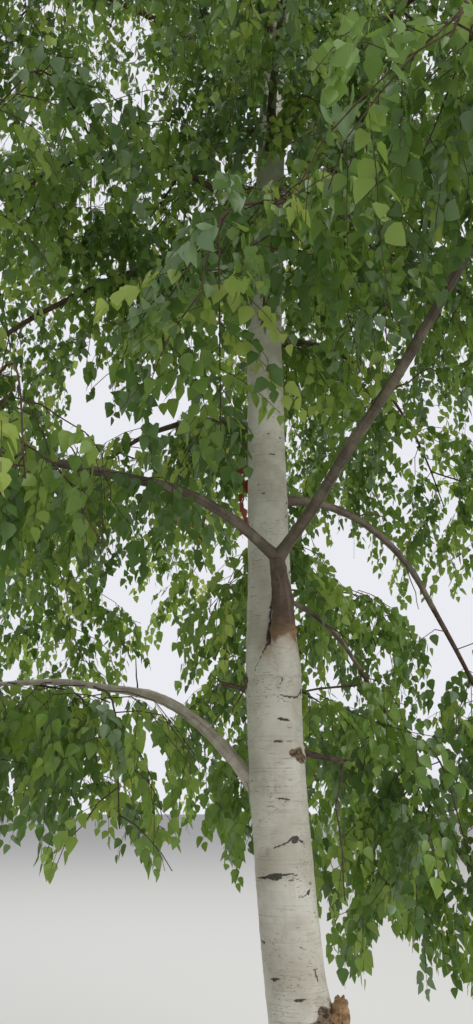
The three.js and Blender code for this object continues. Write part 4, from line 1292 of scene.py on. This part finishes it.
leaf_pieces = []
for name, members in CROWN_PARTS.items():
    part = [one for one in growing if one["name"].removeprefix("foliage_") in members]
    shape = LEAF_SHAPES.get(name, FAR_LEAF)
    points, faces = stacked([leaf_mesh(one["leaves"], shape) for one in part])
    colours = np.concatenate([shoot_colours(one["shoots"])[one["leaves"]["owner"]] for one in part])
    slots = np.repeat(colours, len(shape[1]))
    leaf_pieces.append(new_piece(name, points, faces, "foliage", face_slots=slots))
    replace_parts(leaf_pieces[-1], *sorted({one["name"] for one in part}))

# %% [markdown]
# ## Materials
#
# Every colour is written as the hex value that an eye would pick from a screen and turned into the linear
# light that a shader works with. One helper adds any node with its settings and links. Bark patterns read
# the "bark" attribute, a place in metres that runs round and along the wood, so they follow each limb and
# show no seam.

# %% Colours and nodes
def linear(code):
    """An sRGB hex value as linear light: c / 12.92 up to 0.04045, and ((c + 0.055) / 1.055)^2.4 above it."""
    levels = np.array([int(code[i:i + 2], 16) / 255 for i in (1, 3, 5)])
    light = np.where(levels <= 0.04045, levels / 12.92, ((levels + 0.055) / 1.055) ** 2.4)
    return (*light.tolist(), 1.0)


def add_node(material, kind, settings=None, inputs=None, output=0):
    """Adds a ShaderNode of a kind, sets its properties, links or sets its inputs, and gives an output."""
    made = material.node_tree.nodes.new("ShaderNode" + kind)
    for key, value in (settings or {}).items():
        setattr(made, key, value)
    for key, value in (inputs or {}).items():
        if isinstance(value, bpy.types.NodeSocket):
            material.node_tree.links.new(value, made.inputs[key])
        else:
            made.inputs[key].default_value = linear(value) if isinstance(value, str) else value
    return made.outputs[output] if made.outputs else None


def new_material(name):
    """An empty node material, and the function that adds nodes to it."""
    material = bpy.data.materials.new(name)
    material.use_nodes = True
    material.node_tree.nodes.clear()
    return material, functools.partial(add_node, material)


print("white bark in linear light:", [round(level, 3) for level in linear("#dcd8cb")])

# %% [markdown]
# ### Patterns and coats
#
# A finish is built like paint, coat over coat. A pattern stretched to a real size says where a coat lies,
# and a smooth step turns the pattern's value into a share of the coat's colour. Two functions hold the
# nodes that each coat needs, so a finish reads as a short list.

# %% A pattern and a coat
SMOOTH_STEP = {"interpolation_type": "SMOOTHSTEP"}


def pattern(add, place, stretch, detail=3.0, roughness=0.6):
    """Noise whose lumps are 1 / stretch metres each way."""
    scaled = add("Mapping", inputs={"Vector": place, "Scale": stretch})
    return add("TexNoise", inputs={"Vector": scaled, "Scale": 1.0, "Detail": detail, "Roughness": roughness})


def coat(add, under, over, value, low, high, most=1.0):
    """A colour over another. Its share rises from 0 to most while the value goes from low to high."""
    share = add("MapRange", SMOOTH_STEP, {"Value": value, "From Min": low, "From Max": high, "To Max": most})
    return add("Mix", {"data_type": "RGBA"}, {0: share, 6: under, 7: over}, output=2)


def finish_surface(add, colour, roughness, height, strength, distance):
    """A bump from a pattern, and a Principled shader with the colour, on the material's output."""
    bump = add("Bump", inputs={"Strength": strength, "Distance": distance, "Height": height})
    surface = add("BsdfPrincipled", inputs={"Base Color": colour, "Roughness": roughness, "Normal": bump})
    add("OutputMaterial", inputs={"Surface": surface})


# %% [markdown]
# ### White birch bark
#
# The white of birch bark is a powdery layer over thin sheets that run round the trunk. From a few metres it
# is a warm grey-white with cream and grey clouds, fine level lines, short dark breathing pores called
# lenticels, and black marks with ragged edges. It is matt, and its lines catch the light. The forked limb
# starts in the same white bark and turns orange-brown, then brown, as the wood above it is younger, so it
# shares this finish.

# %% The white coats
FINE_LINE = 0.0034  # height of one level line, drawn coarser than life so that it shows
PORE = (0.026, 0.0036)  # a lenticel's width and height

white_bark, add = new_material("silver_birch_bark")
place = add("Attribute", {"attribute_name": "bark"}, output=1)
mark, near_limb, groove, old, knot, young, blush = (
    add("Attribute", {"attribute_name": key}, output=2)
    for key in ("mark", "collar", "crease", "old", "knot", "young", "blush"))
clouds = pattern(add, place, (5.5, 5.5, 5.5), 4.0)
lines = pattern(add, place, (5, 5, 0.5 / FINE_LINE))
pores = pattern(add, place, (0.5 / PORE[0], 0.5 / PORE[0], 0.5 / PORE[1]), 1.0)
grain = pattern(add, place, (230, 230, 230), 3.0, 0.7)
white = coat(add, "#dcd8cb", "#beb8a8", clouds, 0.38, 0.66)
white = coat(add, white, "#aea797", pattern(add, place, (30, 30, 4)), 0.54, 0.76, 0.35)
white = coat(add, white, "#8f8778", lines, 0.54, 0.72, 0.36)
white = coat(add, white, "#7d7266", pores, 0.70, 0.77, 0.6)
patches = add("MapRange", SMOOTH_STEP, {
    "Value": pattern(add, place, (9, 9, 6)), "From Min": 0.44, "From Max": 0.62, "To Max": 0.7})
white = coat(add, white, "#6f6455", pattern(add, place, (75, 75, 240), 2.0), 0.58, 0.68, patches)
white = coat(add, white, "#8a7461", near_limb, 0.25, 0.95, 0.8)
aged = add("Math", {"operation": "MULTIPLY"}, {0: old, 1: 0.8})
white = add("Mix", {"data_type": "RGBA"}, {0: aged, 6: white, 7: "#65594e"}, output=2)
print(white_bark.name, "has", len(white_bark.node_tree.nodes), "nodes for its white coats")

# %% Knots, young brown bark and black marks over the white
knotted = coat(add, "#7f6951", "#33281f", pattern(add, place, (70, 70, 110), 4.0, 0.7), 0.46, 0.58)
rough_knot = add("Math", {"operation": "MULTIPLY_ADD"}, {0: grain, 1: 0.6, 2: knot})
white = coat(add, white, knotted, rough_knot, 0.5, 0.9)
brown = coat(add, "#665547", "#493b30", clouds, 0.40, 0.62)
brown = coat(add, brown, "#7d6f60", pattern(add, place, (60, 60, 7)), 0.50, 0.70, 0.6)
brown = coat(add, brown, "#33291f", pattern(add, place, (40, 40, 130)), 0.52, 0.72, 0.6)
ragged = pattern(add, place, (45, 45, 28), 4.0)
edge = add("Math", {"operation": "ADD"}, {0: ragged, 1: young})
bark_colour = coat(add, white, brown, edge, 0.80, 1.20)
wrinkled = add("MapRange", SMOOTH_STEP, {
    "Value": pattern(add, place, (26, 26, 90), 4.0), "From Min": 0.30, "From Max": 0.58,
    "To Min": 0.25, "To Max": 0.95})
blushing = add("Math", {"operation": "MULTIPLY"}, {0: blush, 1: wrinkled})
bark_colour = add("Mix", {"data_type": "RGBA"}, {0: blushing, 6: bark_colour, 7: "#a9825c"}, output=2)
marked = add("Math", {"operation": "MAXIMUM"}, {0: mark, 1: groove})
grit = add("Math", {"operation": "SUBTRACT"}, {0: grain, 1: 0.5})
dark = add("Math", {"operation": "ADD"}, {0: marked, 1: grit})
blackened = add("MapRange", SMOOTH_STEP, {"Value": dark, "From Min": 0.34, "From Max": 0.74, "To Max": 0.93})
black = coat(add, "#211c18", "#5d5144", pattern(add, place, (140, 140, 140)), 0.45, 0.66, 0.8)
bark_colour = add("Mix", {"data_type": "RGBA"}, {0: blackened, 6: bark_colour, 7: black}, output=2)
fine = add("Math", {"operation": "MULTIPLY"}, {0: grain, 1: 0.5})
sunk = add("Math", {"operation": "ADD"}, {0: lines, 1: blackened})
height = add("Math", {"operation": "SUBTRACT"}, {0: fine, 1: sunk})
finish_surface(add, bark_colour, 0.74, height, 0.55, 0.0025)
print(white_bark.name, "has", len(white_bark.node_tree.nodes), "nodes")

# %% [markdown]
# ### Bark of the boughs
#
# Young birch wood is smooth and dark, chestnut to grey-brown, with streaks along it, faint rings and pale
# pores. It turns pinkish and paler as it thickens, which is why the low left bough looks flesh-coloured
# beside the others. One function makes both finishes from their own colours.

# %% Smooth bark for limbs
def limb_bark_material(name, light, mid, dark, foot_colour, roughness):
    """Clouds, streaks along the limb, rings round it, pores, and another colour at the limb's foot."""
    material, add = new_material(name)
    place = add("Attribute", {"attribute_name": "bark"}, output=1)
    foot = add("Attribute", {"attribute_name": "foot"}, output=2)
    rings = pattern(add, place, (14, 14, 130))
    pores = pattern(add, place, (90, 90, 300), 1.0)
    colour = coat(add, mid, light, pattern(add, place, (16, 16, 16), 4.0), 0.35, 0.68)
    colour = coat(add, colour, dark, pattern(add, place, (60, 60, 6)), 0.48, 0.70, 0.7)
    colour = coat(add, colour, dark, rings, 0.50, 0.74, 0.4)
    colour = coat(add, colour, light, pores, 0.70, 0.76, 0.5)
    at_foot = add("Math", {"operation": "MULTIPLY"}, {0: foot, 1: 0.7})
    colour = add("Mix", {"data_type": "RGBA"}, {0: at_foot, 6: colour, 7: foot_colour}, output=2)
    finish_surface(add, colour, roughness, rings, 0.5, 0.0016)
    return material


bough_finish = limb_bark_material("dark_birch_bark", "#887c6b", "#5e5244", "#382f27", "#5c4c3d", 0.60)
pale_finish = limb_bark_material("pinkish_birch_bark", "#dbd2c6", "#bfb1a4", "#7d6c60", "#bab0a3", 0.66)
print("limb finishes:", bough_finish.name, pale_finish.name)

# %% [markdown]
# ### Dead and knotted wood
#
# Where a branch has died its bark dries, splits along the grain and goes dark brown to grey. The splits are
# a noise pattern in the piece's own object coordinates, in millimetre sizes.

# %% Dead wood
def rough_wood(name, light, mid, dark, grit):
    """Two colours in clouds of 3 grits, with dark splits that are 3 times as tall as they are wide."""
    material, add = new_material(name)
    place = add("TexCoord", output=3)
    clouds = pattern(add, place, (0.3 / grit, 0.3 / grit, 0.3 / grit), 5.0, 0.7)
    splits = pattern(add, place, (1.2 / grit, 1.2 / grit, 0.35 / grit), 4.0, 0.7)
    colour = coat(add, mid, light, clouds, 0.36, 0.66)
    colour = coat(add, colour, dark, splits, 0.52, 0.66, 0.9)
    rough = add("Math", {"operation": "SUBTRACT"}, {0: clouds, 1: splits})
    finish_surface(add, colour, 0.85, rough, 0.8, 0.5 * grit)
    return material


stub_finish = rough_wood("dead_birch_wood", "#6f5f51", "#453930", "#211a14", 0.006)
burr_finish = rough_wood("burr_wood", "#ba946a", "#86654a", "#33261c", 0.008)
twig_finish = rough_wood("birch_twig_bark", "#6b5446", "#503d32", "#38291f", 0.02)
paper_finish = rough_wood("peeling_birch_bark", "#b9b2a2", "#998f7d", "#7b6f5e", 0.02)
print("rough finishes:", *(one.name for one in (stub_finish, burr_finish, twig_finish, paper_finish)))

# %% [markdown]
# ### Leaves
#
# A birch leaf is thin and slightly glossy. Light that falls on one side comes through it yellower on the
# other, so each leaf mixes a Principled surface with a Translucent one. The colours that have a place are
# plain ones, dealt out by shoot above.

# %% Leaf colours
def leaf_material(name, surface, through, share, roughness):
    """Surface light and light that comes through, mixed by a fixed share."""
    material, add = new_material(name)
    skin = add("BsdfPrincipled", inputs={
        "Base Color": surface, "Roughness": roughness, "Specular IOR Level": 0.75})
    glow = add("BsdfTranslucent", inputs={"Color": through})
    both = add("MixShader", inputs={0: share, 1: skin, 2: glow})
    add("OutputMaterial", inputs={"Surface": both})
    return material


leaf_finishes = [
    leaf_material("leaf_mid_green", "#759346", "#9cbe50", 0.40, 0.38),
    leaf_material("leaf_deep_green", "#56763a", "#82a443", 0.32, 0.36),
    leaf_material("leaf_bright_green", "#8ea951", "#b5d060", 0.45, 0.40),
    # Grey-blue base colour: a painted sheen that stands for the sky's reflection. Its lower roughness is real
    # gloss
    leaf_material("leaf_grey_painted_sheen", "#829b75", "#9aba6a", 0.28, 0.30),
    leaf_material("leaf_yellow_green", "#a8bd60", "#cdde6e", 0.48, 0.42),
    leaf_material("leaf_turned_red", "#8c3a22", "#c25a30", 0.35, 0.50),
]
print("leaf finishes:", len(leaf_finishes))

# %% Give each piece its finish
finishes = {trunk_bark: white_bark, bark_curls: paper_finish, fork_bark: white_bark, bough_bark: bough_finish,
            pale_bough: pale_finish, dead_stubs: stub_finish, burr: burr_finish, twig_wood: twig_finish,
            **dict.fromkeys(shoot_woods, twig_finish), bare_twigs: stub_finish}
for piece, finish in finishes.items():
    piece.data.materials.append(finish)
for piece in leaf_pieces:
    for finish in leaf_finishes:
        piece.data.materials.append(finish)
print("faces in all:", sum(len(piece.data.polygons) for piece in [*finishes, *leaf_pieces]))

# %% [markdown]
# ## The studio
#
# The tree stands on a plain pale floor under a plain pale sky. The light is that of an overcast day in the
# shade: an even glow that is weaker than the sky looks to the camera, a broad soft lamp high up that makes
# the leaves glow from above, and another from the front right.

# %% Floor, sky and lamp
SKY_GLOW, SKY_SEEN = 0.60, 0.92  # how strongly the sky lights the tree, and how bright it looks behind it
LAMP_SIZE = 12.0
FLOOR_HALF = 60.0
floor_mesh = bpy.data.meshes.new("floor")
corners = [(x * FLOOR_HALF, y * FLOOR_HALF, 0) for x, y in ((-1, -1), (1, -1), (1, 1), (-1, 1))]
floor_mesh.from_pydata(corners, [], [(0, 1, 2, 3)])
floor = new_object("floor", floor_mesh)
pale, add = new_material("pale_floor")
plain = add("BsdfPrincipled", inputs={"Base Color": "#c9c8c4", "Roughness": 0.9})
add("OutputMaterial", inputs={"Surface": plain})
floor_mesh.materials.append(pale)
floor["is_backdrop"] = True

world = bpy.data.worlds.new("soft_sky")
world.use_nodes = True
world.node_tree.nodes.clear()
add = functools.partial(add_node, world)
seen = add("LightPath")  # its first output is Is Camera Ray
brightness = add("MapRange", inputs={"Value": seen, "To Min": SKY_GLOW, "To Max": SKY_SEEN})
sky = add("Background", inputs={"Color": "#f4f5fb", "Strength": brightness})
add("OutputWorld", inputs={"Surface": sky})
bpy.context.scene.world = world


def soft_lamp(name, place, aim, power):
    """A square area lamp that points from its place to its aim."""
    light = bpy.data.lights.new(name, "AREA")
    light.size, light.energy = LAMP_SIZE, power
    lamp = new_object(name, light)
    lamp.location = place
    lamp.rotation_euler = (Vector(aim) - Vector(place)).to_track_quat("-Z", "Y").to_euler()


soft_lamp("overhead_lamp", (-4, 5, 18), (0, 0, 4), 2200.0)
soft_lamp("side_lamp", (14, -15, 12), (0, 0, 2.5), 2600.0)
print("the sky lights with", SKY_GLOW, "and looks like", SKY_SEEN)

# %% [markdown]
# ## The camera
#
# The camera stands 2.8 m in front of the trunk, 1.6 m above the ground and a little to the left, and looks
# up by 20 degrees. Its upright field of view is 67 degrees. The sensor setting gives the lens for the long
# side.

# %% Camera
FIELD_OF_VIEW, SENSOR = 67.3, 36.0
CAMERA_PLACE, CAMERA_TILT = (-0.31, -2.8, 1.6), 20
camera_data = bpy.data.cameras.new("camera")
camera_data.sensor_width = SENSOR
camera_data.lens = SENSOR / 2 / math.tan(math.radians(FIELD_OF_VIEW / 2))
camera = new_object("camera", camera_data)
camera.location = CAMERA_PLACE
camera.rotation_euler = (math.radians(90 + CAMERA_TILT), 0, 0)
bpy.context.scene.camera = camera
bpy.context.scene.view_settings.view_transform = "Standard"
print("the lens is", round(camera_data.lens, 1), "mm")

# %% Compare the sizes and finish
dressed_low, dressed_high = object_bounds()
boxes = dict(packed=[list(packed_low), list(packed_high)], dressed=[list(dressed_low), list(dressed_high)])
for name, corners in boxes.items():
    print(name, [[round(value, 3) for value in corner] for corner in corners])
